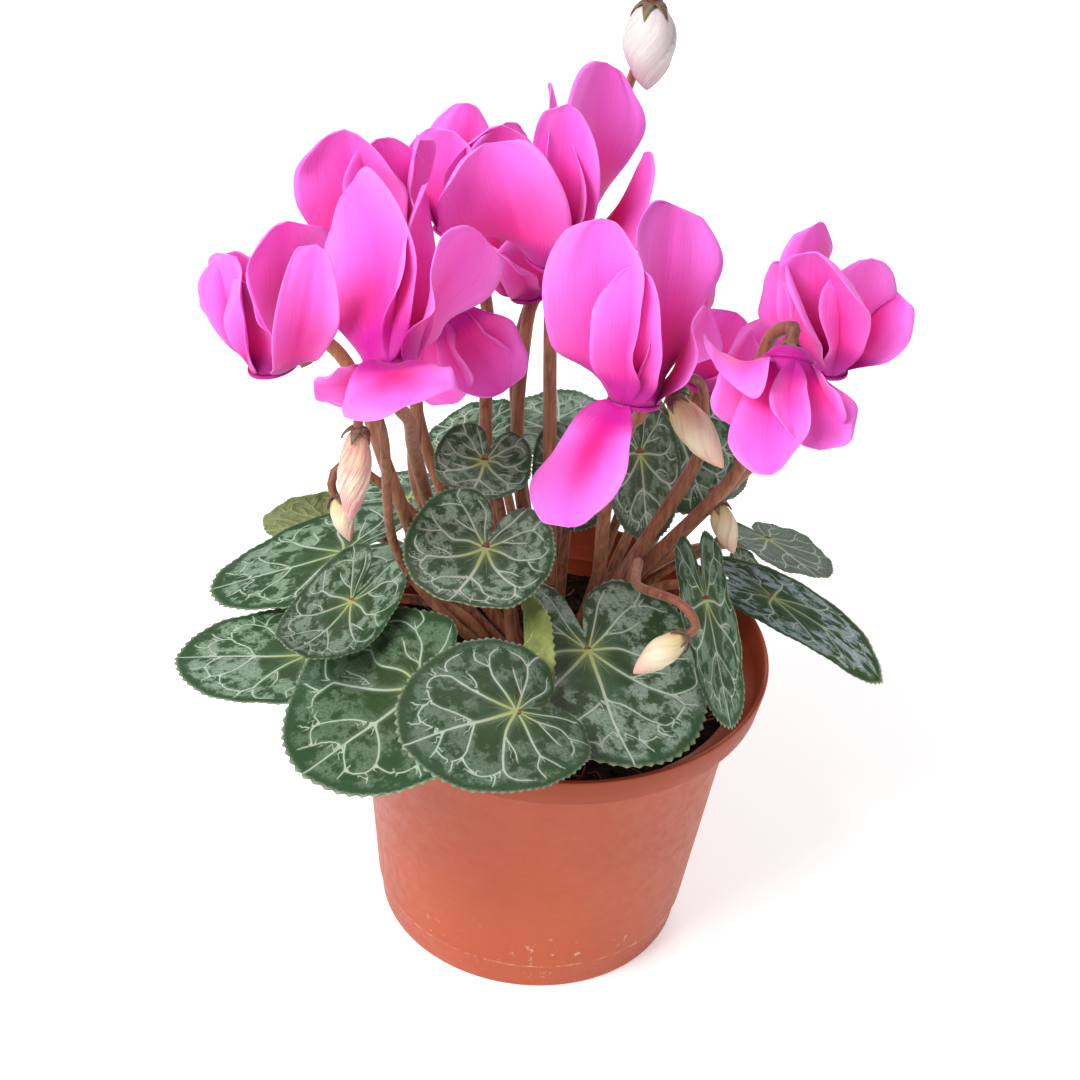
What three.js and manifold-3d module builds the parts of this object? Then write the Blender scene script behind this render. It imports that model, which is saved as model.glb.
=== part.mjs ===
// A potted cyclamen: a tapered plastic pot filled with soil, a tuber with its leaf stalks and flower
// stalks, waved and toothed leaf blades, nodding flowers with swept-back petals, and closed buds.
// Millimetres, +Z up. The origin is the centre of the pot's flat base.
import * as THREE from 'three';
import { mergeVertices } from 'three/addons/utils/BufferGeometryUtils.js';
import Module from 'manifold-3d';

const wasm = await Module();
wasm.setup();

// ---- Driving dimensions ----

const CLEARANCE = 0.3;

const POT_RIM_RADIUS = 60;
const POT_HEIGHT = 90;
const POT_COLLAR_HEIGHT = 9;
const POT_COLLAR_FOOT_RADIUS = 58.8;
const POT_SHOULDER_RADIUS = 53;
const POT_STEP_HEIGHT = 9;
const POT_STEP_RADIUS = 44.8;
const POT_FOOT_RADIUS = 43.3;
const POT_WALL = 1.8;
const POT_FLOOR = 2;
const POT_SEGMENTS = 30;
const DRAIN_HOLES = 6;
const DRAIN_HOLE_RADIUS = 4;
const DRAIN_RING_RADIUS = 26;

const SOIL_TOP = 78;
const SOIL_RIPPLE = 0.8;
const TUBER_RADIUS = 16;
const TUBER_HALF_HEIGHT = 6;
const TUBER_CENTRE = 76.5;
const ROOT_HEIGHT = 80;

const PETAL_THICKNESS = 0.7;
const PETAL_ROWS = 4;
const LONG_PETAL = 39;
const PETAL_COLUMNS = 4;
const PETAL_WAVE = 0.05;
const PETAL_WIDEST = 0.6;
const PETAL_SWELL = 0.8;
const PETAL_BASE_SHARE = 0.24;
const MOUTH_RADIUS = 5.6;
const TUBE_LENGTH = 7;
const HUNG_TUBE_LENGTH = 3;
const TUBE_LIP_RADIUS = 6.8;
const TUBE_LIP_HEIGHT = 0.8;
const TUBE_ROOT_RADIUS = 4.9;
const TUBE_TOP_RADIUS = 4.2;
const TUBE_WALL = 0.9;
const TUBE_SIDES = 7;

const CALYX_RADIUS = 3;
const CALYX_HEIGHT = 1.6;
const FLOWER_STALK_RADIUS = 1.6;
const BUD_STALK_RADIUS = 1.2;
const LEAF_STALK_RADIUS = 1.3;
const FLOWER_STALK_SIDES = 6;
const THIN_STALK_SIDES = 5;
const STALK_STEP = 40;
const STALK_BEND = 32;
const HUNG_STALK_DROP = 4;

const BLADE_THICKNESS = 0.8;
const BLADE_SPOKES = 13;
const BLADE_RINGS = [0.4, 0.76];
const BLADE_WAVE = 0.04;
const TOOTH_DEPTH = 0.035;
// Blade outline: half-angle from the tip in degrees, distance from the stalk in blade sizes.
const BLADE_OUTLINE = [
  [0, 1.0], [25, 0.95], [55, 0.82], [90, 0.73], [125, 0.70], [152, 0.62], [168, 0.46], [180, 0.10],
];

const BUD_RINGS = 6;
const BUD_SIDES = 8;
const BUD_TWIST = 70;

// Open flowers. Petals: turn, lean, curl, sweep, length, width, twist, left cup, right cup.
const BLOOMS = [
  {
    name: 'bloom_01', mouth: [13, -32, 187], tilt: 16, toward: 80, gap: 75, hung: false,
    root: [3, -3], via: [[10, 1, 104], [10, -12, 145], [13, -16, 169]],
    petals: [
      [-104, 12, -10, -3, 36, 20, 13, 36, 50],
      [-143, 12, -6, -6, 45, 30, -50, 37, 67],
      [-25, -10, -5, 18, 49, 31, 29, 29, 20],
      [12, 23, 1, 14, 26, 26, 40, 14, 47],
      [-127, 145, 15, 8, 33, 26, -9, 2, -3],
    ],
  },
  {
    name: 'bloom_02', mouth: [-10, -4, 208], tilt: 12, toward: 0, gap: 75, hung: false,
    root: [0, 3], via: [[-6, 8, 149], [-9, 4, 193]],
    petals: [
      [-99, 8, 2, -11, 46, 20, 3, 62, 43],
      [-137, 36, -6, -9, 40, 33, -57, 52, 6],
      [-14, -12, -6, 19, 51, 34, 35, 34, 11],
      [11, 21, -10, 22, 33, 28, 18, 28, 63],
      [157, 8, 18, 9, 46, 23, -24, 28, 8],
    ],
  },
  {
    name: 'bloom_03', mouth: [-44, -48, 199], tilt: 42, toward: 95, gap: 85, hung: false,
    root: [-5, -1], via: [[-28, 1, 103], [-36, 3, 127], [-40, -16, 158], [-40, -34, 177]],
    petals: [
      [-135, -2, 7, -19, 48, 32, 3, 25, 27],
      [-50, -4, 12, 8, 45, 24, -52, 44, 55],
      [-1, 24, 22, -6, 36, 37, 22, 15, 22],
      [-85, 120, 6, 6, 29, 27, -20, 30, 9],
      [-175, 111, -22, -1, 13, 19, -11, 28, 10],
    ],
  },
  {
    name: 'bloom_04', mouth: [-75, -22, 182], tilt: 14, toward: 180, gap: 60, hung: false,
    root: [-8, 0], via: [[-31, -2, 102], [-36, -4, 114], [-46, -16, 150], [-56, -16, 178], [-65, -14, 186]],
    petals: [
      [-58, 31, -29, 12, 50, 16, 37, 30, 53],
      [2, 10, 15, 5, 37, 31, 50, 16, 28],
      [-113, -4, 10, 5, 25, 17, 36, 21, 24],
      [192, -7, -7, -2, 30, 27, -21, 46, 28],
      [130, 8, 0, 0, 28, 20, 0, 28, 28],
    ],
  },
  {
    name: 'bloom_05', mouth: [-52, 11, 196], tilt: 22, toward: 150, gap: 60, hung: false,
    root: [-6, 4], via: [[-38, 6, 127], [-42, 10, 157], [-48, 18, 181]],
    petals: [
      [-101, 16, 13, 10, 40, 29, 2, 34, 34],
      [-50, 12, 8, 0, 33, 26, 0, 30, 22],
      [0, 22, 8, 0, 30, 26, 12, 28, 28],
      [185, 26, 8, 0, 23, 24, -10, 28, 28],
      [120, 16, 0, 0, 31, 24, 0, 28, 28],
    ],
  },
  {
    name: 'bloom_06', mouth: [-36, 43, 190], tilt: 10, toward: 30, gap: 62, hung: false,
    root: [-3, 8], via: [[-22, 30, 124], [-26, 46, 163]],
    petals: [
      [-120, 14, 8, 0, 32, 24, 0, 28, 28],
      [-65, 10, 8, 0, 36, 26, 0, 28, 28],
      [-6, 2, 16, -12, 36, 28, 30, 13, 16],
      [175, 24, 0, 0, 25, 22, 0, 28, 28],
      [109, 17, 0, 0, 32, 20, 0, 28, 28],
    ],
  },
  {
    name: 'bloom_07', mouth: [-14, 22, 186], tilt: 20, toward: 190, gap: 90, hung: false,
    root: [0, 7], via: [[-14, 26, 129], [-15, 30, 171]],
    petals: [
      [-120, 20, 8, 0, 26, 24, 0, 28, 28],
      [-60, 16, 6, 0, 26, 24, 0, 28, 28],
      [0, 18, 6, 0, 22, 22, 0, 28, 28],
      [180, 16, 6, 0, 22, 22, 0, 28, 28],
      [140, 16, 0, 0, 24, 20, 0, 28, 28],
    ],
  },
  {
    name: 'bloom_08', mouth: [-36, 8, 185], tilt: 150, toward: -20, gap: 90, hung: true,
    root: [-6, 6], via: [[-38, 22, 131], [-45, 22, 170]],
    petals: [
      [-90, 12, 10, 0, 24, 24, 0, 28, 28],
      [-15, 12, 10, 0, 20, 20, 0, 28, 28],
      [55, 16, 10, 0, 24, 24, 0, 28, 28],
      [125, 14, 10, 0, 22, 22, 0, 28, 28],
      [-160, 16, 10, 0, 22, 22, 0, 28, 28],
    ],
  },
  {
    name: 'bloom_09', mouth: [32, 16, 166], tilt: 22, toward: 30, gap: 85, hung: false,
    root: [5, 6], via: [[15, 8, 103], [32, 6, 146], [35, 18, 151]],
    petals: [
      [-100, 8, 5, 0, 24, 24, 0, 28, 28],
      [-45, 12, 5, 0, 28, 26, 0, 28, 28],
      [15, 24, 5, 0, 28, 26, 0, 28, 28],
      [180, 14, 5, 0, 26, 24, 0, 28, 28],
      [150, 10, 0, 0, 26, 22, 0, 28, 28],
    ],
  },
  {
    name: 'bloom_10', mouth: [48, -33, 203], tilt: 140, toward: -95, gap: -90, hung: true,
    root: [7, 2], via: [[17, 5, 105], [42, -8, 154], [42, -23, 184], [44, -22, 202]],
    petals: [
      [170, 65, 11, -9, 13, 28, 43, -1, 29],
      [112, 18, 15, -10, 32, 21, -12, 31, 22],
      [50, 23, 15, 3, 24, 23, -19, 22, 14],
      [0, 26, 0, 0, 17, 20, 0, 28, 28],
      [-140, 30, 8, 0, 18, 20, 0, 28, 28],
    ],
  },
  {
    name: 'bloom_11', mouth: [60, -6, 187], tilt: 8, toward: 20, gap: 80, hung: false,
    root: [7, 5], via: [[19, 9, 103], [46, 6, 147], [59, 10, 162], [61, 6, 175]],
    petals: [
      [-110, 16, 28, -14, 38, 26, 5, 28, 40],
      [-149, 23, 3, -13, 30, 27, 13, 34, 28],
      [-34, -4, 14, 1, 32, 27, 23, 12, 16],
      [30, 26, 8, 0, 23, 22, 0, 28, 28],
      [150, 10, 8, 6, 36, 22, 12, 28, 28],
    ],
  },
];

// Leaf blades. Folds: direction in degrees from the tip, distance, radius (in blade sizes), angle.
const LEAVES = [
  {
    name: 'leaf_01', at: [-33, -44, 104], size: 38, heading: 225, pitch: -20, roll: 6,
    wide: 1.12, cup: 0.12, droop: 10, waves: 4, phase: 0,
    via: [], folds: [],
  },
  {
    name: 'leaf_02', at: [-8, -70, 120], size: 32, heading: 220, pitch: 10, roll: -22,
    wide: 0.9, cup: 0.06, droop: 25, waves: 3, phase: 0,
    via: [], folds: [],
  },
  {
    name: 'leaf_03', at: [9, -31, 111], size: 38, heading: 290, pitch: -22, roll: -12,
    wide: 1.12, cup: 0.12, droop: 0, waves: 3, phase: 0,
    via: [], folds: [[-98, 0.46, 0.08, 120]],
  },
  {
    name: 'leaf_04', at: [-20, -18, 131], size: 25, heading: 250, pitch: -30, roll: -5,
    wide: 1.05, cup: 0.35, droop: -15, waves: 3, phase: 0,
    via: [], folds: [],
  },
  {
    name: 'leaf_05', at: [-54, -21, 112], size: 32, heading: 245, pitch: -15, roll: -8,
    wide: 0.52, cup: 0.24, droop: -15, waves: 3, phase: 0,
    via: [[-26, -5, 100], [-46, -9, 106]], folds: [],
  },
  {
    name: 'leaf_06', at: [-65, -21, 93], size: 35, heading: 180, pitch: -9, roll: -4,
    wide: 0.77, cup: 0.11, droop: 15, waves: 3, phase: 0,
    via: [[-30, -8, 90], [-48, -16, 94], [-56, -20, 92]], folds: [],
  },
  {
    name: 'leaf_07', at: [-60, 14, 103], size: 38, heading: 190, pitch: -20, roll: 0,
    wide: 0.7, cup: 0.11, droop: 15, waves: 3, phase: 0,
    via: [[-22, 6, 90], [-42, 16, 98]], folds: [],
  },
  {
    name: 'leaf_08', at: [-69, 40, 96], size: 18, heading: 180, pitch: -21, roll: 65,
    wide: 0.94, cup: 0.08, droop: 10, waves: 3, phase: 0,
    via: [[-22, 14, 92], [-46, 30, 96]], folds: [],
  },
  {
    name: 'leaf_09', at: [-23, 16, 136], size: 18, heading: 260, pitch: -25, roll: -5,
    wide: 0.99, cup: 0.29, droop: -15, waves: 3, phase: 0,
    via: [], folds: [],
  },
  {
    name: 'leaf_10', at: [-26, 52, 121], size: 20, heading: 135, pitch: -15, roll: -25,
    wide: 0.98, cup: 0.1, droop: 20, waves: 3, phase: 0,
    via: [], folds: [],
  },
  {
    name: 'leaf_11', at: [-3, 64, 117], size: 26, heading: 95, pitch: -5, roll: -5,
    wide: 0.94, cup: 0.12, droop: 10, waves: 3, phase: 0,
    via: [], folds: [],
  },
  {
    name: 'leaf_12', at: [19, 27, 136], size: 24, heading: 285, pitch: -45, roll: 15,
    wide: 0.61, cup: 0.11, droop: 20, waves: 3, phase: 0,
    via: [[14, 18, 100], [21, 30, 120]], folds: [],
  },
  {
    name: 'leaf_13', at: [29, 54, 130], size: 27, heading: 305, pitch: -40, roll: 5,
    wide: 0.93, cup: 0.11, droop: 20, waves: 3, phase: 0,
    via: [], folds: [],
  },
  {
    name: 'leaf_14', at: [2, 34, 128], size: 20, heading: 275, pitch: -40, roll: -5,
    wide: 0.86, cup: 0.11, droop: 25, waves: 3, phase: 0,
    via: [], folds: [],
  },
  {
    name: 'leaf_15', at: [38, -25, 126], size: 33, heading: 300, pitch: -55, roll: 35,
    wide: 0.31, cup: 0.1, droop: 15, waves: 3, phase: 0,
    via: [[22, -2, 108], [34, -12, 122]], folds: [[90, 0.13, 0.08, 70], [-90, 0.13, 0.08, 70]],
  },
  {
    name: 'leaf_16', at: [59, 6, 107], size: 41, heading: 335, pitch: -8, roll: 80,
    wide: 0.27, cup: 0.2, droop: -15, waves: 3, phase: 0,
    via: [[32, 6, 92], [48, 11, 100]], folds: [],
  },
  {
    name: 'leaf_17', at: [60, 48, 98], size: 26, heading: 300, pitch: 10, roll: -15,
    wide: 0.75, cup: 0.1, droop: 20, waves: 3, phase: 0,
    via: [[28, 30, 98], [48, 42, 99]], folds: [],
  },
  {
    name: 'leaf_18', at: [54, 21, 99], size: 12, heading: 140, pitch: 55, roll: -10,
    wide: 0.69, cup: 0.11, droop: 20, waves: 3, phase: 0,
    via: [[24, 12, 92], [46, 20, 97]], folds: [],
  },
  {
    name: 'leaf_19', at: [34, 66, 106], size: 24, heading: 60, pitch: 4, roll: 6,
    wide: 1.0, cup: 0.1, droop: 22, waves: 3, phase: 0,
    via: [[22, 30, 96], [30, 52, 101]], folds: [],
  },
  {
    name: 'leaf_20', at: [-46, 56, 95], size: 21, heading: 128, pitch: -12, roll: -4,
    wide: 1.0, cup: 0.1, droop: 20, waves: 4, phase: 45,
    via: [[-20, 24, 92], [-40, 42, 94]], folds: [],
  },
];

// Closed buds: where the stalk meets them, their tip, and the stalk behind them.
const BUDS = [
  {
    name: 'bud_01', top: [-52, -38, 176], tip: [-53, -40, 150], radius: 4.2,
    root: [-8, -4], via: [[-32, -11, 106], [-44, -15, 128], [-46, -34, 171], [-49, -37, 181]],
  },
  {
    name: 'bud_02', top: [-61, -2, 132], tip: [-56, -8, 122], radius: 3.0,
    root: [-9, 1], via: [[-32, 5, 99], [-35, 6, 116], [-50, 5, 133], [-60, 3, 139]],
  },
  {
    name: 'bud_03', top: [23, -14, 179], tip: [38, -18, 162], radius: 4.6,
    root: [6, 0], via: [[15, 0, 109], [32, 0, 149], [32, -4, 173], [28, -9, 182]],
  },
  {
    name: 'bud_04', top: [39, -3, 142], tip: [45, -7, 129], radius: 3.4,
    root: [9, 1], via: [[23, 8, 105], [42, 4, 126], [40, 1, 141]],
  },
  {
    name: 'bud_05', top: [32, -46, 130], tip: [20, -52, 121], radius: 3.8,
    root: [10, -2], via: [[20, -3, 119], [20, -24, 128], [30, -41, 136]],
  },
  {
    name: 'bud_06', top: [8, 6, 272], tip: [9, 4, 251], radius: 6.5,
    root: [1, 9], via: [[-13, 36, 121], [-17, 48, 159], [0, 46, 213], [8, 30, 253], [10, 14, 273]],
  },
];

// ---- Small helpers ----

const DEGREE = Math.PI / 180;
const vector = (p) => new THREE.Vector3(p[0], p[1], p[2]);
const clamp01 = (t) => Math.min(1, Math.max(0, t));
const smooth = (t) => t * t * (3 - 2 * t);

// A closed body from loose points and triangles.
function solidOf(points, triangles) {
  const vertProperties = new Float32Array(points.length * 3);
  points.forEach((p, i) => p.toArray(vertProperties, 3 * i));
  return new wasm.Manifold(new wasm.Mesh({
    numProp: 3,
    vertProperties,
    triVerts: new Uint32Array(triangles.flat()),
  }));
}

function solidOfGeometry(geometry) {
  const bare = geometry.index ? geometry.toNonIndexed() : geometry.clone();
  bare.deleteAttribute('normal');
  bare.deleteAttribute('uv');
  const merged = mergeVertices(bare, 1e-4);
  return new wasm.Manifold(new wasm.Mesh({
    numProp: 3,
    vertProperties: new Float32Array(merged.attributes.position.array),
    triVerts: new Uint32Array(merged.index.array),
  }));
}

function geometryOf(solid) {
  const mesh = solid.getMesh();
  const geometry = new THREE.BufferGeometry();
  geometry.setAttribute('position', new THREE.BufferAttribute(mesh.vertProperties, 3));
  geometry.setIndex(new THREE.BufferAttribute(mesh.triVerts, 1));
  return geometry;
}

function joined(solids) {
  return solids.reduce((whole, piece) => whole.add(piece));
}

// The three axes of a piece as a placed matrix: columns along, across and out.
function placed(origin, along, across, out) {
  return new THREE.Matrix4().makeBasis(along, across, out).setPosition(origin);
}

// Gives a surface its thickness. The rim lists the surface's edge in order, and both faces are
// split alike.
function sheet(points, triangles, rim, thickness) {
  const normals = points.map(() => new THREE.Vector3());
  for (const [a, b, c] of triangles) {
    const ab = points[b].clone().sub(points[a]);
    const ac = points[c].clone().sub(points[a]);
    const n = ab.cross(ac);
    [a, b, c].forEach((i) => normals[i].add(n));
  }
  normals.forEach((n) => n.normalize());
  const half = thickness / 2;
  const upper = points.map((p, i) => p.clone().addScaledVector(normals[i], half));
  const lower = points.map((p, i) => p.clone().addScaledVector(normals[i], -half));
  const count = points.length;
  const faces = [];
  for (const [a, b, c] of triangles) {
    faces.push([a, b, c], [count + a, count + c, count + b]);
  }
  rim.forEach((a, i) => {
    const b = rim[(i + 1) % rim.length];
    faces.push([a, count + a, b], [b, count + a, count + b]);
  });
  return solidOf([...upper, ...lower], faces);
}

// ---- Pot and soil ----

function potWallRadius(height) {
  const t = (height - POT_STEP_HEIGHT) / (POT_HEIGHT - POT_COLLAR_HEIGHT - POT_STEP_HEIGHT);
  return POT_STEP_RADIUS + t * (POT_SHOULDER_RADIUS - POT_STEP_RADIUS);
}

function lathe(profile, segments) {
  const geometry = new THREE.LatheGeometry(profile.map(([r, z]) => new THREE.Vector2(r, z)), segments);
  geometry.rotateX(Math.PI / 2);
  return solidOfGeometry(geometry);
}

function pot() {
  const collarFoot = POT_HEIGHT - POT_COLLAR_HEIGHT;
  const outside = [
    [0, 0],
    [POT_FOOT_RADIUS - 0.8, 0],
    [POT_FOOT_RADIUS, 0.8],
    [POT_STEP_RADIUS - 0.8, POT_STEP_HEIGHT - 0.6],
    [POT_STEP_RADIUS, POT_STEP_HEIGHT],
    [POT_SHOULDER_RADIUS, collarFoot],
    [POT_COLLAR_FOOT_RADIUS, collarFoot + 0.5],
    [POT_RIM_RADIUS, POT_HEIGHT - 0.8],
    [POT_RIM_RADIUS - 0.8, POT_HEIGHT],
  ];
  const inside = [
    [POT_RIM_RADIUS - POT_WALL, POT_HEIGHT],
    [POT_COLLAR_FOOT_RADIUS - POT_WALL, collarFoot + 2],
    [POT_SHOULDER_RADIUS - POT_WALL, collarFoot - 1],
    [POT_STEP_RADIUS - POT_WALL, POT_STEP_HEIGHT],
    [POT_FOOT_RADIUS - POT_WALL, POT_FLOOR],
    [0, POT_FLOOR],
  ];
  let body = lathe([...outside, ...inside], POT_SEGMENTS);
  for (let i = 0; i < DRAIN_HOLES; i += 1) {
    const angle = (i * 2 * Math.PI) / DRAIN_HOLES;
    const drill = new THREE.CylinderGeometry(DRAIN_HOLE_RADIUS, DRAIN_HOLE_RADIUS, 6 * POT_FLOOR, 8);
    drill.rotateX(Math.PI / 2);
    drill.translate(DRAIN_RING_RADIUS * Math.cos(angle), DRAIN_RING_RADIUS * Math.sin(angle), 0);
    body = body.subtract(solidOfGeometry(drill));
  }
  return body;
}

function tuber(grow) {
  const ball = new THREE.SphereGeometry(1, 14, 8);
  ball.scale(TUBER_RADIUS + grow, TUBER_HALF_HEIGHT + grow, TUBER_RADIUS + grow);
  ball.rotateX(Math.PI / 2);
  ball.translate(0, 0, TUBER_CENTRE);
  return solidOfGeometry(ball);
}

function soil() {
  const fit = POT_WALL + CLEARANCE;
  const bottom = POT_FLOOR + CLEARANCE;
  const collarFoot = POT_HEIGHT - POT_COLLAR_HEIGHT;
  const profile = [
    [0, bottom],
    [POT_FOOT_RADIUS - fit - 0.5, bottom],
    [POT_STEP_RADIUS - fit - 0.2, POT_STEP_HEIGHT],
    [potWallRadius(collarFoot - 8) - fit - 0.4, collarFoot - 8],
    [potWallRadius(SOIL_TOP - 1) - fit - 0.4, SOIL_TOP - 1],
    [36, SOIL_TOP - SOIL_RIPPLE],
    [22, SOIL_TOP],
    [0, SOIL_TOP],
  ];
  const body = lathe(profile, POT_SEGMENTS);
  return body.subtract(tuber(CLEARANCE));
}

// ---- Stalks ----

// Stations along a curve, close together where it bends and far apart where it runs straight.
function stations(path, controlPoints) {
  const count = 12 * (controlPoints - 1);
  const kept = [0];
  let turned = 0;
  let travelled = 0;
  for (let i = 1; i < count; i += 1) {
    const before = path.getTangent((i - 1) / count);
    turned += before.angleTo(path.getTangent(i / count)) / DEGREE;
    travelled += path.getPoint(i / count).distanceTo(path.getPoint((i - 1) / count));
    if (turned > STALK_BEND || travelled > STALK_STEP) {
      kept.push(i / count);
      turned = 0;
      travelled = 0;
    }
  }
  return [...kept, 1];
}

// A round stalk swept along a smooth curve through the points.
function stalk(controls, radius, sides, endRadius = radius) {
  const path = new THREE.CatmullRomCurve3(controls, false, 'catmullrom', 0.5);
  const places = stations(path, controls.length);
  const points = [];
  let side = new THREE.Vector3(0.8, 0.6, 0);
  for (const t of places) {
    const r = t < 1 ? radius : endRadius;
    const along = path.getTangent(t);
    side = side.clone().addScaledVector(along, -side.dot(along)).normalize();
    const other = along.clone().cross(side);
    for (let j = 0; j < sides; j += 1) {
      const angle = (j * 2 * Math.PI) / sides;
      points.push(path.getPoint(t)
        .addScaledVector(side, r * Math.cos(angle))
        .addScaledVector(other, r * Math.sin(angle)));
    }
  }
  const corner = (i, j) => i * sides + (j % sides);
  const last = places.length - 1;
  const triangles = [];
  for (let j = 0; j < sides; j += 1) {
    for (let i = 0; i < last; i += 1) {
      triangles.push([corner(i, j), corner(i, j + 1), corner(i + 1, j + 1)]);
      triangles.push([corner(i, j), corner(i + 1, j + 1), corner(i + 1, j)]);
    }
    if (j > 0 && j < sides - 1) {
      triangles.push([corner(0, 0), corner(0, j + 1), corner(0, j)]);
      triangles.push([corner(last, 0), corner(last, j), corner(last, j + 1)]);
    }
  }
  return solidOf(points, triangles);
}

// ---- Flowers ----

function flowerAxes({ tilt, toward }) {
  const t = tilt * DEGREE;
  const w = toward * DEGREE;
  const axis = new THREE.Vector3(Math.sin(t) * Math.cos(w), Math.sin(t) * Math.sin(w), Math.cos(t));
  const x = new THREE.Vector3(1, 0, 0).addScaledVector(axis, -axis.x).normalize();
  const y = axis.clone().cross(x);
  return { axis, x, y };
}

function petalHalfWidth(u, width) {
  if (u < PETAL_WIDEST) {
    const rise = Math.sin(u / PETAL_WIDEST * Math.PI / 2) ** PETAL_SWELL;
    return 0.5 * width * (PETAL_BASE_SHARE + (1 - PETAL_BASE_SHARE) * rise);
  }
  const k = (u - PETAL_WIDEST) / (1 - PETAL_WIDEST);
  return 0.5 * width * Math.sqrt(Math.max(0, 1 - k ** 2.2));
}

// A petal as a grid of points. u runs from its root to its tip and v from margin to margin. The
// midline bends by lean and curl, the blade twists, and its two halves cup by their own angles.
function petalPoint(petal, u, v, midline) {
  const [, , , , , width, twist, left, right] = petal;
  const { centre, along } = midline;
  const side = new THREE.Vector3(0, 1, 0).addScaledVector(along, -along.y).normalize();
  const out = side.clone().cross(along);
  const turn = twist * u * DEGREE;
  const across = side.clone().multiplyScalar(Math.cos(turn)).addScaledVector(out, Math.sin(turn));
  const lift = out.clone().multiplyScalar(Math.cos(turn)).addScaledVector(side, -Math.sin(turn));
  const free = smooth(Math.min(1, u / 0.35));
  const rootCup = -petalHalfWidth(0, width) / MOUTH_RADIUS;
  const cup = rootCup * (1 - free) + (v < 0 ? left : right) * DEGREE * free;
  const angle = cup * Math.abs(v);
  const flat = Math.abs(cup) < 1e-4;
  const reach = flat ? Math.abs(v) : Math.sin(angle) / cup;
  let rise = flat ? 0 : (1 - Math.cos(angle)) / cup;
  rise += PETAL_WAVE * v * v * Math.sin(2 * Math.PI * (1.3 * u + 0.25 * Math.sign(v))) * free;
  const half = petalHalfWidth(u, width);
  return centre.clone()
    .addScaledVector(across, half * Math.sign(v) * reach)
    .addScaledVector(lift, half * rise);
}

function petalMidline(petal, rows) {
  const [, lean, curl, sweep, length] = petal;
  const fine = 4;
  const direction = (u) => {
    const a = (lean + curl * (2 * u - 1)) * DEGREE;
    const b = sweep * u * 1.6 * DEGREE;
    return new THREE.Vector3(Math.cos(b) * Math.sin(a), Math.sin(b), Math.cos(b) * Math.cos(a));
  };
  const line = [{ centre: new THREE.Vector3(MOUTH_RADIUS, 0, 0), along: direction(0) }];
  const centre = line[0].centre.clone();
  const count = rows * fine;
  for (let i = 1; i <= count; i += 1) {
    const middle = direction((i - 0.5) / count);
    centre.addScaledVector(middle, length / count);
    if (i % fine === 0) {
      line.push({ centre: centre.clone(), along: direction(i / count) });
    }
  }
  return line;
}

function petalSolid(petal, bloom) {
  const isLong = petal[4] > LONG_PETAL;
  const rows = isLong ? PETAL_ROWS : PETAL_ROWS - 1;
  const columns = isLong ? PETAL_COLUMNS : PETAL_COLUMNS - 1;
  const line = petalMidline(petal, rows);
  const { axis, x, y } = flowerAxes(bloom);
  const turn = petal[0] * DEGREE;
  const radial = x.clone().multiplyScalar(Math.cos(turn)).addScaledVector(y, Math.sin(turn));
  const around = y.clone().multiplyScalar(Math.cos(turn)).addScaledVector(x, -Math.sin(turn));
  const place = placed(vector(bloom.mouth), radial, around, axis);
  const points = [];
  for (let i = 0; i < rows; i += 1) {
    for (let j = 0; j <= columns; j += 1) {
      const v = (2 * j) / columns - 1;
      points.push(petalPoint(petal, i / rows, v, line[i]).applyMatrix4(place));
    }
  }
  points.push(line[rows].centre.clone().applyMatrix4(place));
  const tip = points.length - 1;
  const row = columns + 1;
  const triangles = [];
  for (let i = 0; i < rows - 1; i += 1) {
    for (let j = 0; j < columns; j += 1) {
      const a = i * row + j;
      triangles.push([a, a + 1, a + row + 1], [a, a + row + 1, a + row]);
    }
  }
  const last = (rows - 1) * row;
  for (let j = 0; j < columns; j += 1) {
    triangles.push([last + j, last + j + 1, tip]);
  }
  const rim = [];
  for (let j = 0; j < columns; j += 1) {
    rim.push(j);
  }
  for (let i = 0; i < rows; i += 1) {
    rim.push(i * row + columns);
  }
  rim.push(tip);
  for (let i = rows - 1; i > 0; i -= 1) {
    rim.push(i * row);
  }
  return sheet(points, triangles, rim, PETAL_THICKNESS);
}

// The short tube behind the petals. It is open at the mouth and closed by a dome.
function flowerTube(bloom) {
  const length = bloom.hung ? HUNG_TUBE_LENGTH : TUBE_LENGTH;
  const inner = TUBE_ROOT_RADIUS - TUBE_WALL;
  const profile = [
    [inner, -TUBE_LIP_HEIGHT],
    [TUBE_LIP_RADIUS, -TUBE_LIP_HEIGHT],
    [TUBE_LIP_RADIUS, TUBE_LIP_HEIGHT],
    [TUBE_ROOT_RADIUS, TUBE_LIP_HEIGHT],
    [TUBE_TOP_RADIUS, length * 0.8],
    [0, length + 0.5],
    [0, length - TUBE_WALL],
    [TUBE_TOP_RADIUS - TUBE_WALL, length * 0.8 - TUBE_WALL / 2],
  ].map(([r, h]) => new THREE.Vector2(r, h));
  const geometry = new THREE.LatheGeometry([...profile, profile[0]], TUBE_SIDES);
  geometry.rotateX(Math.PI / 2);
  if (bloom.hung) {
    geometry.rotateX(Math.PI);
  }
  const { axis, x, y } = flowerAxes(bloom);
  geometry.applyMatrix4(placed(vector(bloom.mouth), x, y, axis));
  return solidOfGeometry(geometry);
}

function corolla(bloom) {
  return joined([flowerTube(bloom), ...bloom.petals.map((petal) => petalSolid(petal, bloom))]);
}

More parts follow.
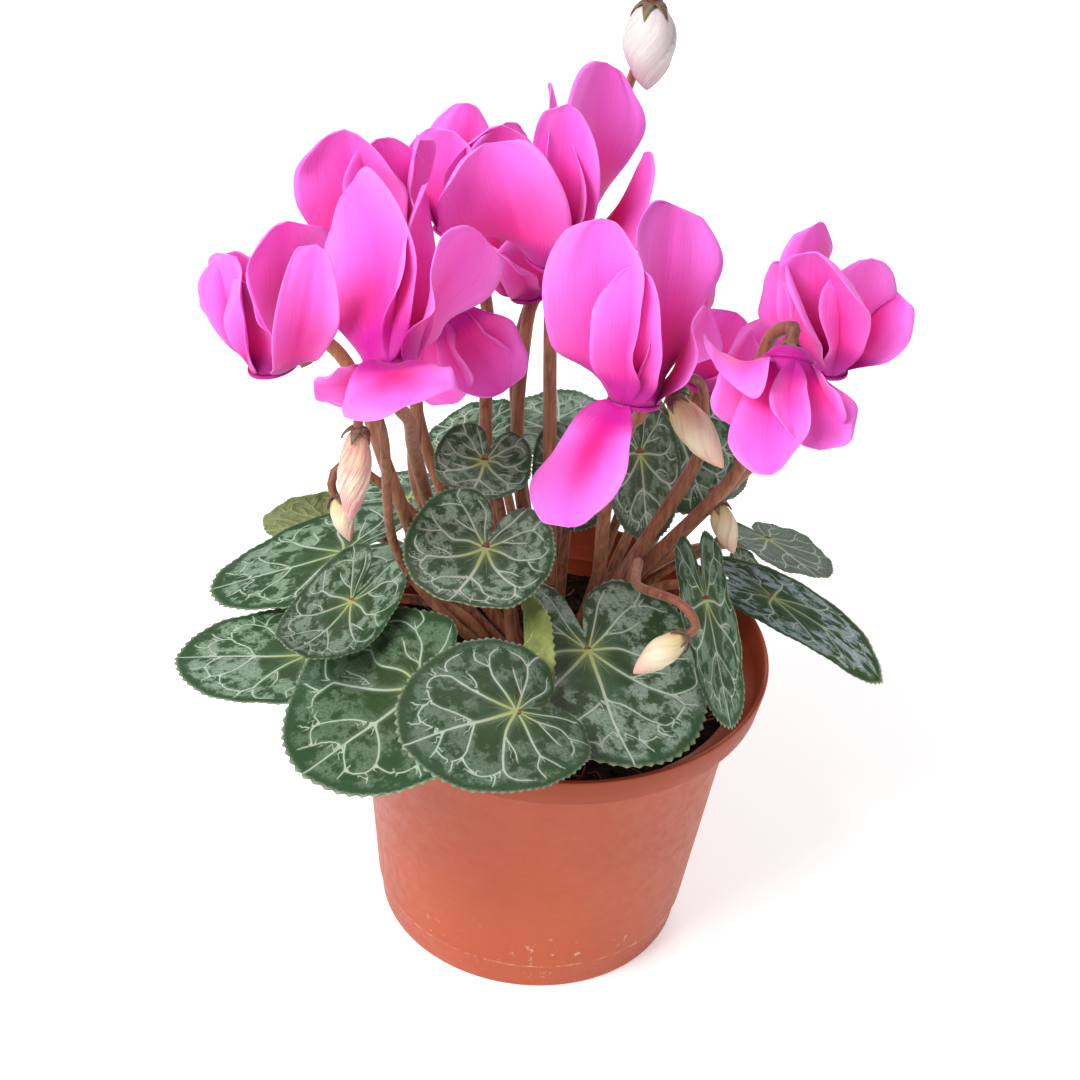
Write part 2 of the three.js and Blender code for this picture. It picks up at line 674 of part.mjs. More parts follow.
// A flower stalk rises from the tuber, hooks over in the widest gap between the petals and ends on
// the flower's tube, widened there into a small calyx.
function flowerStalk(bloom) {
  const { axis, x, y } = flowerAxes(bloom);
  const mouth = vector(bloom.mouth);
  const gap = bloom.gap * DEGREE;
  const aside = x.clone().multiplyScalar(Math.cos(gap)).addScaledVector(y, Math.sin(gap));
  const at = (out, up) => mouth.clone().addScaledVector(aside, out).addScaledVector(axis, up);
  const points = [vector([...bloom.root, ROOT_HEIGHT]), ...bloom.via.map(vector)];
  const end = (bloom.hung ? HUNG_TUBE_LENGTH : TUBE_LENGTH) + 0.5 + CLEARANCE;
  if (bloom.hung) {
    points.push(at(0, -end - HUNG_STALK_DROP), at(0, -end - CALYX_HEIGHT), at(0, -end));
  } else {
    points.push(at(10.5, -5), at(9.8, 7), at(5.4, 14), at(0.6, end + CALYX_HEIGHT + 1), at(0, end));
  }
  return stalk(points, FLOWER_STALK_RADIUS, FLOWER_STALK_SIDES, CALYX_RADIUS);
}

// ---- Leaves ----

function outlineRadius(angle) {
  const degrees = Math.abs(angle) / DEGREE;
  const next = Math.max(1, BLADE_OUTLINE.findIndex(([a]) => a >= degrees));
  const [a0, r0] = BLADE_OUTLINE[next - 1];
  const [a1, r1] = BLADE_OUTLINE[next];
  const t = clamp01((degrees - a0) / (a1 - a0));
  return r0 + (r1 - r0) * t;
}

// Bends a flat blade point (in blade sizes, tip along +x) into its cupped, waved, drooping form.
function bladePoint(leaf, flatX, flatY) {
  let x = flatX;
  let y = flatY * leaf.wide;
  const r = Math.hypot(x, y);
  const around = Math.atan2(y, x);
  let z = leaf.cup * r * r;
  z += BLADE_WAVE * r * r * Math.cos(leaf.waves * around + leaf.phase * DEGREE);
  const droop = leaf.droop * DEGREE;
  if (Math.abs(droop) > 1e-4) {
    const angle = droop * Math.max(x, -0.7);
    const radius = 1 / droop;
    const height = z;
    x = (radius + height) * Math.sin(angle);
    z = (radius + height) * Math.cos(angle) - radius;
  }
  for (const [direction, distance, radius, angle] of leaf.folds) {
    const ex = Math.cos(direction * DEGREE);
    const ey = Math.sin(direction * DEGREE);
    const past = x * ex + y * ey - distance;
    if (past > 0) {
      const whole = Math.abs(angle) * DEGREE;
      const up = Math.sign(angle);
      const arc = Math.min(whole, past / radius);
      const rest = Math.max(0, past - radius * whole);
      const bend = radius - up * z;
      const along = bend * Math.sin(arc) + rest * Math.cos(arc);
      z = up * (radius - bend * Math.cos(arc) + rest * Math.sin(arc));
      x += (along - past) * ex;
      y += (along - past) * ey;
    }
  }
  return new THREE.Vector3(x, y, z).multiplyScalar(leaf.size);
}

function leafAxes(leaf) {
  const h = leaf.heading * DEGREE;
  const p = leaf.pitch * DEGREE;
  const r = leaf.roll * DEGREE;
  const forward = new THREE.Vector3(Math.cos(h) * Math.cos(p), Math.sin(h) * Math.cos(p), Math.sin(p));
  const level = new THREE.Vector3(-Math.sin(h), Math.cos(h), 0);
  const up = forward.clone().cross(level);
  const across = level.clone().multiplyScalar(Math.cos(r)).addScaledVector(up, Math.sin(r));
  const normal = up.clone().multiplyScalar(Math.cos(r)).addScaledVector(level, -Math.sin(r));
  return { forward, across, normal };
}

function blade(leaf) {
  const { forward, across, normal } = leafAxes(leaf);
  const place = placed(vector(leaf.at), forward, across, normal);
  const points = [bladePoint(leaf, 0, 0)];
  for (const share of BLADE_RINGS) {
    for (let i = 0; i < BLADE_SPOKES; i += 1) {
      const angle = -Math.PI + (2 * Math.PI * (i + 0.5)) / BLADE_SPOKES;
      const r = share * outlineRadius(angle);
      points.push(bladePoint(leaf, r * Math.cos(angle), r * Math.sin(angle)));
    }
  }
  const teeth = 2 * BLADE_SPOKES;
  const edge = [];
  for (let i = 0; i < teeth; i += 1) {
    const angle = -Math.PI + (2 * Math.PI * (i + 0.5)) / teeth;
    const tooth = 1 + TOOTH_DEPTH * (i % 2 === 0 ? 1 : -1);
    const r = tooth * outlineRadius(angle);
    edge.push(points.length);
    points.push(bladePoint(leaf, r * Math.cos(angle), r * Math.sin(angle)));
  }
  points.forEach((p) => p.applyMatrix4(place));
  const triangles = [];
  const spoke = (ring, i) => 1 + ring * BLADE_SPOKES + (i % BLADE_SPOKES);
  for (let i = 0; i < BLADE_SPOKES; i += 1) {
    triangles.push([0, spoke(0, i), spoke(0, i + 1)]);
    triangles.push([spoke(0, i), spoke(1, i), spoke(1, i + 1)]);
    triangles.push([spoke(0, i), spoke(1, i + 1), spoke(0, i + 1)]);
    const first = edge[2 * i];
    const second = edge[2 * i + 1];
    const third = edge[(2 * i + 2) % teeth];
    triangles.push([spoke(1, i), first, second]);
    triangles.push([spoke(1, i), second, spoke(1, i + 1)]);
    triangles.push([spoke(1, i + 1), second, third]);
  }
  return sheet(points, triangles, edge, BLADE_THICKNESS);
}

// A leaf stalk leaves the tuber towards its blade and meets it from below.
function leafStalk(leaf) {
  const { forward, normal } = leafAxes(leaf);
  const at = vector(leaf.at);
  const reach = Math.hypot(at.x, at.y);
  const rootRadius = Math.min(TUBER_RADIUS - 4, 0.5 * reach + 4);
  const root = new THREE.Vector3(at.x, at.y, 0).setLength(rootRadius).setZ(ROOT_HEIGHT);
  const end = at.clone().addScaledVector(normal, -BLADE_THICKNESS / 2 - LEAF_STALK_RADIUS);
  const before = at.clone().addScaledVector(normal, -4).addScaledVector(forward, -4);
  const out = Math.hypot(before.x, before.y);
  let lowest = out > 46 ? POT_HEIGHT + 2 : ROOT_HEIGHT + 4;
  if (out > POT_RIM_RADIUS + 3) {
    lowest = POT_HEIGHT - 3;
  }
  before.z = Math.max(before.z, lowest);
  let via = leaf.via.map(vector);
  if (via.length === 0) {
    const middle = root.clone().lerp(before, 0.5);
    middle.z = Math.max(middle.z, ROOT_HEIGHT + 0.65 * (before.z - ROOT_HEIGHT));
    via = [middle];
  }
  return stalk([root, ...via, before, end], LEAF_STALK_RADIUS, THIN_STALK_SIDES);
}

// ---- Buds ----

// A closed bud is a spindle of five rolled petals that wind around each other.
function bud({ top, tip, radius }) {
  const start = vector(top);
  const axis = vector(tip).sub(start);
  const length = axis.length();
  axis.normalize();
  const side = axis.clone().cross(new THREE.Vector3(0.3, 0.5, 0.8)).normalize();
  const other = axis.clone().cross(side);
  const points = [start.clone()];
  for (let i = 1; i < BUD_RINGS; i += 1) {
    const u = i / BUD_RINGS;
    const swell = radius * Math.sin(Math.PI * (0.12 + 0.88 * u)) ** 0.8;
    for (let j = 0; j < BUD_SIDES; j += 1) {
      const angle = (j * 2 * Math.PI) / BUD_SIDES + BUD_TWIST * u * DEGREE;
      const r = swell * (j % 2 === 0 ? 1 : 0.84);
      points.push(start.clone()
        .addScaledVector(axis, length * u)
        .addScaledVector(side, r * Math.cos(angle))
        .addScaledVector(other, r * Math.sin(angle)));
    }
  }
  points.push(vector(tip));
  const last = points.length - 1;
  const ring = (i, j) => 1 + (i - 1) * BUD_SIDES + (j % BUD_SIDES);
  const triangles = [];
  for (let j = 0; j < BUD_SIDES; j += 1) {
    triangles.push([0, ring(1, j + 1), ring(1, j)]);
    for (let i = 1; i < BUD_RINGS - 1; i += 1) {
      triangles.push([ring(i, j), ring(i, j + 1), ring(i + 1, j + 1)]);
      triangles.push([ring(i, j), ring(i + 1, j + 1), ring(i + 1, j)]);
    }
    triangles.push([ring(BUD_RINGS - 1, j), ring(BUD_RINGS - 1, j + 1), last]);
  }
  return solidOf(points, triangles);
}

function budStalk({ top, tip, root, via }) {
  const end = vector(top);
  const axis = vector(tip).sub(end).normalize();
  const points = [
    vector([...root, ROOT_HEIGHT]),
    ...via.map(vector),
    end.clone().addScaledVector(axis, -3.5),
    end.clone().addScaledVector(axis, -CLEARANCE),
  ];
  return stalk(points, BUD_STALK_RADIUS, THIN_STALK_SIDES);
}

// ---- The plant in its pot ----

const MATERIALS = {
  pot: new THREE.MeshStandardMaterial({ color: 0xc0603f, roughness: 0.5, metalness: 0 }),
  soil: new THREE.MeshStandardMaterial({ color: 0x2a1c14, roughness: 0.95, metalness: 0 }),
  stalk: new THREE.MeshStandardMaterial({ color: 0x7a4436, roughness: 0.6, metalness: 0 }),
  leaf: new THREE.MeshStandardMaterial({ color: 0x2f5a3a, roughness: 0.55, metalness: 0 }),
  petal: new THREE.MeshStandardMaterial({ color: 0xe848b8, roughness: 0.6, metalness: 0 }),
  bud: new THREE.MeshStandardMaterial({ color: 0xe8e0b4, roughness: 0.6, metalness: 0 }),
};

const plant = new THREE.Group();

function addNode(name, solid, material) {
  const mesh = new THREE.Mesh(geometryOf(solid), material);
  mesh.name = name;
  plant.add(mesh);
}

addNode('pot', pot(), MATERIALS.pot);
addNode('soil', soil(), MATERIALS.soil);
addNode('crown', joined([
  tuber(0),
  ...LEAVES.map(leafStalk),
  ...BLOOMS.map(flowerStalk),
  ...BUDS.map(budStalk),
]), MATERIALS.stalk);
LEAVES.forEach((leaf) => addNode(leaf.name, blade(leaf), MATERIALS.leaf));
BLOOMS.forEach((bloom) => addNode(bloom.name, corolla(bloom), MATERIALS.petal));
BUDS.forEach((item) => addNode(item.name, bud(item), MATERIALS.bud));

export default plant;
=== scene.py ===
"""The looks of a potted cyclamen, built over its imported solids: the moulded pot, the soil with its
crumbs and fibres, the tuber with its stalks, marbled leaves, swept-back flowers and pale buds."""
import math
from collections import namedtuple

import bmesh
import bpy
import numpy as np
from mathutils import Matrix, Vector


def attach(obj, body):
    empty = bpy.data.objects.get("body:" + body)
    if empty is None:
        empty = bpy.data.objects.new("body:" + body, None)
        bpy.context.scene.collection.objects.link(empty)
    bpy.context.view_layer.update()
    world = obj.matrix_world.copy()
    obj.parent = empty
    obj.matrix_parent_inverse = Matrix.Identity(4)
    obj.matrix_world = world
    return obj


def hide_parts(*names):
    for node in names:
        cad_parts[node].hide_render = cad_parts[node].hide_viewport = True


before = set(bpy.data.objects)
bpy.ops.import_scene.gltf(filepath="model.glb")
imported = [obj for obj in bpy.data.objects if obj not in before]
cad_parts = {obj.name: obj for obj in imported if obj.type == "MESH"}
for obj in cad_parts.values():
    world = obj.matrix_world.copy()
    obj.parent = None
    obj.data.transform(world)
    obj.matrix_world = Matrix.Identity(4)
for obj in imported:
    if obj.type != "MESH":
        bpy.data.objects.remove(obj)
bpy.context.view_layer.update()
MM = 0.001


# ---------------------------------------------------------------- how the plant grew (millimetres)

# Open flowers: the petals' mouth, how far its axis leans and where to, where the stalk comes in,
# whether the flower hangs, and the stalk's root and way. A petal's left and right are its cups.
Bloom = namedtuple('Bloom', 'name mouth tilt toward gap hung root via petals')
Petal = namedtuple('Petal', 'turn lean curl sweep length width twist left right')
BLOOMS = [
    Bloom('bloom_01', (13, -32, 187), 16, 80, 75, False, (3, -3),
          [(10, 1, 104), (10, -12, 145), (13, -16, 169)], [
              (-104, 12, -10, -3, 36, 20, 13, 36, 50),
              (-143, 12, -6, -6, 45, 30, -50, 37, 67),
              (-25, -10, -5, 18, 49, 31, 29, 29, 20),
              (12, 23, 1, 14, 26, 26, 40, 14, 47),
              (-127, 145, 15, 8, 33, 26, -9, 2, -3)]),
    Bloom('bloom_02', (-10, -4, 208), 12, 0, 75, False, (0, 3),
          [(-6, 8, 149), (-9, 4, 193)], [
              (-99, 8, 2, -11, 46, 20, 3, 62, 43),
              (-137, 36, -6, -9, 40, 33, -57, 52, 6),
              (-14, -12, -6, 19, 51, 34, 35, 34, 11),
              (11, 21, -10, 22, 33, 28, 18, 28, 63),
              (157, 8, 18, 9, 46, 23, -24, 28, 8)]),
    Bloom('bloom_03', (-44, -48, 199), 42, 95, 85, False, (-5, -1),
          [(-28, 1, 103), (-36, 3, 127), (-40, -16, 158), (-40, -34, 177)], [
              (-135, -2, 7, -19, 48, 32, 3, 25, 27),
              (-50, -4, 12, 8, 45, 24, -52, 44, 55),
              (-1, 24, 22, -6, 36, 37, 22, 15, 22),
              (-85, 120, 6, 6, 29, 27, -20, 30, 9),
              (-175, 111, -22, -1, 13, 19, -11, 28, 10)]),
    Bloom('bloom_04', (-75, -22, 182), 14, 180, 60, False, (-8, 0),
          [(-31, -2, 102), (-36, -4, 114), (-46, -16, 150), (-56, -16, 178), (-65, -14, 186)], [
              (-58, 31, -29, 12, 50, 16, 37, 30, 53),
              (2, 10, 15, 5, 37, 31, 50, 16, 28),
              (-113, -4, 10, 5, 25, 17, 36, 21, 24),
              (192, -7, -7, -2, 30, 27, -21, 46, 28),
              (130, 8, 0, 0, 28, 20, 0, 28, 28)]),
    Bloom('bloom_05', (-52, 11, 196), 22, 150, 60, False, (-6, 4),
          [(-38, 6, 127), (-42, 10, 157), (-48, 18, 181)], [
              (-101, 16, 13, 10, 40, 29, 2, 34, 34),
              (-50, 12, 8, 0, 33, 26, 0, 30, 22),
              (0, 22, 8, 0, 30, 26, 12, 28, 28),
              (185, 26, 8, 0, 23, 24, -10, 28, 28),
              (120, 16, 0, 0, 31, 24, 0, 28, 28)]),
    Bloom('bloom_06', (-36, 43, 190), 10, 30, 62, False, (-3, 8),
          [(-22, 30, 124), (-26, 46, 163)], [
              (-120, 14, 8, 0, 32, 24, 0, 28, 28),
              (-65, 10, 8, 0, 36, 26, 0, 28, 28),
              (-6, 2, 16, -12, 36, 28, 30, 13, 16),
              (175, 24, 0, 0, 25, 22, 0, 28, 28),
              (109, 17, 0, 0, 32, 20, 0, 28, 28)]),
    Bloom('bloom_07', (-14, 22, 186), 20, 190, 90, False, (0, 7),
          [(-14, 26, 129), (-15, 30, 171)], [
              (-120, 20, 8, 0, 26, 24, 0, 28, 28),
              (-60, 16, 6, 0, 26, 24, 0, 28, 28),
              (0, 18, 6, 0, 22, 22, 0, 28, 28),
              (180, 16, 6, 0, 22, 22, 0, 28, 28),
              (140, 16, 0, 0, 24, 20, 0, 28, 28)]),
    Bloom('bloom_08', (-36, 8, 185), 150, -20, 90, True, (-6, 6),
          [(-38, 22, 131), (-45, 22, 170)], [
              (-90, 12, 10, 0, 24, 24, 0, 28, 28),
              (-15, 12, 10, 0, 20, 20, 0, 28, 28),
              (55, 16, 10, 0, 24, 24, 0, 28, 28),
              (125, 14, 10, 0, 22, 22, 0, 28, 28),
              (-160, 16, 10, 0, 22, 22, 0, 28, 28)]),
    Bloom('bloom_09', (32, 16, 166), 22, 30, 85, False, (5, 6),
          [(15, 8, 103), (32, 6, 146), (35, 18, 151)], [
              (-100, 8, 5, 0, 24, 24, 0, 28, 28),
              (-45, 12, 5, 0, 28, 26, 0, 28, 28),
              (15, 24, 5, 0, 28, 26, 0, 28, 28),
              (180, 14, 5, 0, 26, 24, 0, 28, 28),
              (150, 10, 0, 0, 26, 22, 0, 28, 28)]),
    Bloom('bloom_10', (48, -33, 203), 140, -95, -90, True, (7, 2),
          [(17, 5, 105), (42, -8, 154), (42, -23, 184), (44, -22, 202)], [
              (170, 65, 11, -9, 13, 28, 43, -1, 29),
              (112, 18, 15, -10, 32, 21, -12, 31, 22),
              (50, 23, 15, 3, 24, 23, -19, 22, 14),
              (0, 26, 0, 0, 17, 20, 0, 28, 28),
              (-140, 30, 8, 0, 18, 20, 0, 28, 28)]),
    Bloom('bloom_11', (60, -6, 187), 8, 20, 80, False, (7, 5),
          [(19, 9, 103), (46, 6, 147), (59, 10, 162), (61, 6, 175)], [
              (-110, 16, 28, -14, 38, 26, 5, 28, 40),
              (-149, 23, 3, -13, 30, 27, 13, 34, 28),
              (-34, -4, 14, 1, 32, 27, 23, 12, 16),
              (30, 26, 8, 0, 23, 22, 0, 28, 28),
              (150, 10, 8, 6, 36, 22, 12, 28, 28)]),
]

# Leaf blades: where the stalk meets them, their size, aim and form, and the stalk's way.
# Folds: direction in degrees from the tip, distance and radius in blade sizes, angle.
Leaf = namedtuple('Leaf', 'name at size heading pitch roll wide cup droop waves phase via folds',
                  defaults=(3, 0, (), ()))
LEAVES = [
    Leaf('leaf_01', (-33, -44, 104), 38, 225, -20, 6, 1.12, 0.12, 10, waves=4),
    Leaf('leaf_02', (-8, -70, 120), 32, 220, 10, -22, 0.9, 0.06, 25),
    Leaf('leaf_03', (9, -31, 111), 38, 290, -22, -12, 1.12, 0.12, 0,
         folds=[(-98, 0.46, 0.08, 120)]),
    Leaf('leaf_04', (-20, -18, 131), 25, 250, -30, -5, 1.05, 0.35, -15),
    Leaf('leaf_05', (-54, -21, 112), 32, 245, -15, -8, 0.52, 0.24, -15,
         via=[(-26, -5, 100), (-46, -9, 106)]),
    Leaf('leaf_06', (-65, -21, 93), 35, 180, -9, -4, 0.77, 0.11, 15,
         via=[(-30, -8, 90), (-48, -16, 94), (-56, -20, 92)]),
    Leaf('leaf_07', (-60, 14, 103), 38, 190, -20, 0, 0.7, 0.11, 15,
         via=[(-22, 6, 90), (-42, 16, 98)]),
    Leaf('leaf_08', (-69, 40, 96), 18, 180, -21, 65, 0.94, 0.08, 10,
         via=[(-22, 14, 92), (-46, 30, 96)]),
    Leaf('leaf_09', (-23, 16, 136), 18, 260, -25, -5, 0.99, 0.29, -15),
    Leaf('leaf_10', (-26, 52, 121), 20, 135, -15, -25, 0.98, 0.1, 20),
    Leaf('leaf_11', (-3, 64, 117), 26, 95, -5, -5, 0.94, 0.12, 10),
    Leaf('leaf_12', (19, 27, 136), 24, 285, -45, 15, 0.61, 0.11, 20,
         via=[(14, 18, 100), (21, 30, 120)]),
    Leaf('leaf_13', (29, 54, 130), 27, 305, -40, 5, 0.93, 0.11, 20),
    Leaf('leaf_14', (2, 34, 128), 20, 275, -40, -5, 0.86, 0.11, 25),
    Leaf('leaf_15', (38, -25, 126), 33, 300, -55, 35, 0.31, 0.1, 15,
         via=[(22, -2, 108), (34, -12, 122)], folds=[(90, 0.13, 0.08, 70), (-90, 0.13, 0.08, 70)]),
    Leaf('leaf_16', (59, 6, 107), 41, 335, -8, 80, 0.27, 0.2, -15,
         via=[(32, 6, 92), (48, 11, 100)]),
    Leaf('leaf_17', (60, 48, 98), 26, 300, 10, -15, 0.75, 0.1, 20,
         via=[(28, 30, 98), (48, 42, 99)]),
    Leaf('leaf_18', (54, 21, 99), 12, 140, 55, -10, 0.69, 0.11, 20,
         via=[(24, 12, 92), (46, 20, 97)]),
    Leaf('leaf_19', (34, 66, 106), 24, 60, 4, 6, 1.0, 0.1, 22, via=[(22, 30, 96), (30, 52, 101)]),
    Leaf('leaf_20', (-46, 56, 95), 21, 128, -12, -4, 1.0, 0.1, 20,
         waves=4, phase=45, via=[(-20, 24, 92), (-40, 42, 94)]),
]

# Closed buds: where the stalk meets them, their tip, their radius, and the stalk's root and way.
Bud = namedtuple('Bud', 'name top tip radius root via')
BUDS = [
    Bud('bud_01', (-52, -38, 176), (-53, -40, 150), 4.2, (-8, -4),
        [(-32, -11, 106), (-44, -15, 128), (-46, -34, 171), (-49, -37, 181)]),
    Bud('bud_02', (-61, -2, 132), (-56, -8, 122), 3.0, (-9, 1),
        [(-32, 5, 99), (-35, 6, 116), (-50, 5, 133), (-60, 3, 139)]),
    Bud('bud_03', (23, -14, 179), (38, -18, 162), 4.6, (6, 0),
        [(15, 0, 109), (32, 0, 149), (32, -4, 173), (28, -9, 182)]),
    Bud('bud_04', (39, -3, 142), (45, -7, 129), 3.4, (9, 1),
        [(23, 8, 105), (42, 4, 126), (40, 1, 141)]),
    Bud('bud_05', (32, -46, 130), (20, -52, 121), 3.8, (10, -2),
        [(20, -3, 119), (20, -24, 128), (30, -41, 136)]),
    Bud('bud_06', (8, 6, 272), (9, 4, 251), 6.5, (1, 9),
        [(-13, 36, 121), (-17, 48, 159), (0, 46, 213), (8, 30, 253), (10, 14, 273)]),
]


# ---------------------------------------------------------------- sizes (millimetres)

POT_HEIGHT = 90
# The pot wall's section: radius and height, from the foot up the outside and down the inside.
POT_SECTION = [
    (39, 0.6), (39.6, 0.15), (40.4, 0), (42.4, 0), (43.1, 0.3), (43.4, 1.0), (44.0, 8.2),
    (44.3, 8.9), (44.9, 9.3), (52.9, 80.6), (53.3, 81.2), (58.2, 81.3), (58.8, 81.8), (60.0, 89.0),
    (59.8, 89.7), (59.3, 90), (58.9, 90), (58.3, 89.5), (57.2, 83.4), (56.6, 82.9), (51.6, 82.4),
    (51.2, 81.6), (43.1, 9.6), (41.6, 2.6), (41.0, 2.0), (20, 1.9), (0.01, 1.9), (0.01, 0.6),
    (20, 0.6),
]
DRAIN_HOLES = 6
DRAIN_RADIUS = 4
DRAIN_CIRCLE = 26
SOIL_TOP = 78
SOIL_RADIUS = 51.3
SOIL_WALL = [(50.9, 74), (46.9, 40), (42.8, 9.5), (41.2, 3), (39.5, 2.4), (0.05, 2.4)]
FIBRES = 150
FIBRES_FROM = 18
FIBRES_TO = 49
TUBER_RADIUS = 16
TUBER_HALF_HEIGHT = 6
TUBER_CENTRE = 76.5
ROOT_HEIGHT = 80
MOUTH_RADIUS = 5.6
TUBE_LENGTH = 7
HUNG_TUBE_LENGTH = 3
TUBE_WALL = 0.5
# The tube behind the mouth: radius, height as a share of its length, and height on top of that.
TUBE_PROFILE = [
    (0.05, 1, 0.2), (1.6, 1, 0), (3.0, 0.9, 0), (4.2, 0.7, 0), (4.9, 0.35, 0), (5.2, 0, 0.6),
    (5.45, 0, 0), (5.9, 0, -0.5), (6.2, 0, -0.3), (6.1, 0, 0.3),
]
# A flower stalk's hooked neck: how far beside the mouth and above it.
HOOK = [(10.5, -5), (9.8, 7), (5.4, 14)]
STALK_GAP = 0.8
STALK_BITE = 0.6
CALYX_HEIGHT = 1.6
SEPALS = 5
SEPAL_LENGTH = 3.4
SEPAL_HALF_WIDTH = 1.35
SEPAL_THICKNESS = 0.3
FLOWER_STALK_RADIUS = 1.6
LEAF_STALK_RADIUS = 1.3
BUD_STALK_RADIUS = 1.15
PETAL_THICKNESS = 0.45
BLADE_THICKNESS = 0.55
NEAR_RIM = 46
OVER_RIM = 63
ROLLED_PETALS = 5
BUD_TWIST = math.radians(150)

# A petal's form, in shares of its length or half width.
PETAL_BASE = 0.26
PETAL_SWELL = 0.8
PETAL_WIDEST = 0.6
TUBE_SHARE = 0.35
OVERLAP = 0.13
CREASE = 0.04
FLUTE = 0.065
SCALLOP = 0.055

# A blade's outline: degrees from the tip, and the distance from the stalk in blade sizes.
LEAF_OUTLINE = [
    (0, 1.0), (25, 0.95), (55, 0.82), (90, 0.73), (125, 0.70), (152, 0.62), (168, 0.46),
    (180, 0.10),
]
NOTCH_FROM = 168
LEAST_DROOP_AT = -0.7
LEAF_TEETH = 74
LEAF_RINGS = 30
TOOTH_DEPTH = 0.022
WAVE_HEIGHT = 0.04

# One side of a blade's veins in blade sizes, the tip at x = 1: points, and the widths at both ends.
MIDRIB = ([(0, 0), (0.3, 0.008), (0.6, -0.008), (0.96, 0.0)], 1.1, 0.45)
VEINS = [
    ([(0, 0), (0.16, 0.15), (0.30, 0.33), (0.37, 0.46)], 0.9, 0.6),
    ([(0.37, 0.46), (0.36, 0.55), (0.30, 0.63), (0.22, 0.66)], 0.55, 0.3),
    ([(0.37, 0.46), (0.46, 0.50), (0.55, 0.48), (0.62, 0.40)], 0.55, 0.3),
    ([(0.46, 0.50), (0.49, 0.58)], 0.35, 0.2),
    ([(0, 0), (0.00, 0.18), (0.04, 0.34), (0.02, 0.46)], 0.8, 0.5),
    ([(0.02, 0.46), (-0.05, 0.56), (-0.10, 0.60)], 0.45, 0.25),
    ([(0.02, 0.46), (0.09, 0.56), (0.10, 0.63)], 0.45, 0.25),
    ([(0, 0), (-0.13, 0.14), (-0.27, 0.27), (-0.33, 0.38)], 0.7, 0.4),
    ([(-0.33, 0.38), (-0.30, 0.48), (-0.25, 0.55)], 0.4, 0.2),
    ([(-0.33, 0.38), (-0.41, 0.43), (-0.46, 0.46)], 0.4, 0.2),
    ([(0, 0), (-0.18, 0.08), (-0.36, 0.15), (-0.46, 0.22)], 0.5, 0.25),
    ([(0.40, 0.0), (0.48, 0.12), (0.57, 0.22), (0.62, 0.27)], 0.6, 0.45),
    ([(0.62, 0.27), (0.63, 0.35), (0.60, 0.42)], 0.4, 0.25),
    ([(0.62, 0.27), (0.70, 0.28), (0.76, 0.22), (0.78, 0.14)], 0.4, 0.25),
    ([(0.70, 0.28), (0.75, 0.34)], 0.3, 0.2),
    ([(0.66, 0.0), (0.72, 0.08), (0.78, 0.14), (0.85, 0.17)], 0.4, 0.2),
    ([(0.22, 0.24), (0.20, 0.36), (0.22, 0.44)], 0.35, 0.2),
    ([(-0.13, 0.14), (-0.14, 0.28), (-0.18, 0.38)], 0.35, 0.2),
]
VEIN_WANDER = 0.018
THINNEST_VEIN = 0.4
VEIN_SCALE = 0.55
VEIN_UNITS = 2.8
FARTHEST_VEIN = 9

# How silvery each blade is where that differs from its side of the plant. Above about 0.65 the
# silver also takes a painted bluish reflection of the sky.
SILVER = {'leaf_01': 0.28, 'leaf_02': 0.3, 'leaf_03': 0.7, 'leaf_16': 0.85, 'leaf_17': 0.12}
LEFT_SILVER = 0.62
RIGHT_SILVER = 0.45

# Metres from the ground, as the pot's finish reads them.
COLLAR_FROM, COLLAR_FULL = 0.0806, 0.0812
SCUFFS_FULL, SCUFFS_TO = 0.006, 0.030
STEP_RING = (0.0082, 0.0088, 0.0094, 0.0102)

WELD_DISTANCE = 0.00002     # metres
ASLANT = (0.3, 0.5, 0.8)    # a direction that no bud points in
ANY_TURN = 6.28             # radians, the most that a random turn may be


# ---------------------------------------------------------------- small helpers

def vec(v):
    return np.array(v, float)


def unit(v):
    return v / np.maximum(np.linalg.norm(v, axis=-1, keepdims=True), 1e-9)


def smooth(t):
    t = np.clip(t, 0, 1)
    return t * t * (3 - 2 * t)


def smooth_path(controls, step=2.0):
    """Points along an even curve through the controls, about a step apart."""
    p = np.asarray(controls, float)
    before = np.vstack([2 * p[0] - p[1], p[:-1]])
    after = np.vstack([p[1:], 2 * p[-1] - p[-2]])
    slope = (after - before) / 2
    points = [p[0]]
    for a, b, ta, tb in zip(p[:-1], p[1:], slope[:-1], slope[1:]):
        for t in np.linspace(0, 1, max(3, int(np.linalg.norm(b - a) / step) + 1))[1:]:
            points.append((2 * t**3 - 3 * t**2 + 1) * a + (t**3 - 2 * t**2 + t) * ta
                          + (-2 * t**3 + 3 * t**2) * b + (t**3 - t**2) * tb)
    return np.array(points)


def ring_faces(rows, columns, first=0, flip=False):
    """Faces between closed rings of points that are numbered ring by ring."""
    faces = []
    for i in range(first, rows):
        for j in range(columns):
            a, b = i * columns + j, i * columns + (j + 1) % columns
            c, d = b + columns, a + columns
            faces.append([a, d, c, b] if flip else [a, b, c, d])
    return faces


def new_object(name, data):
    piece = bpy.data.objects.new(name, data)
    bpy.context.scene.collection.objects.link(piece)
    return piece


def mark_points(mesh, floats):
    """Gives a mesh's points the values that a finish or a tree reads."""
    for key, values in floats.items():
        layer = mesh.attributes.new(key, 'FLOAT', 'POINT')
        layer.data.foreach_set('value', np.asarray(values, np.float32))


def shade(mesh, even=True):
    mesh.polygons.foreach_set('use_smooth', [even] * len(mesh.polygons))


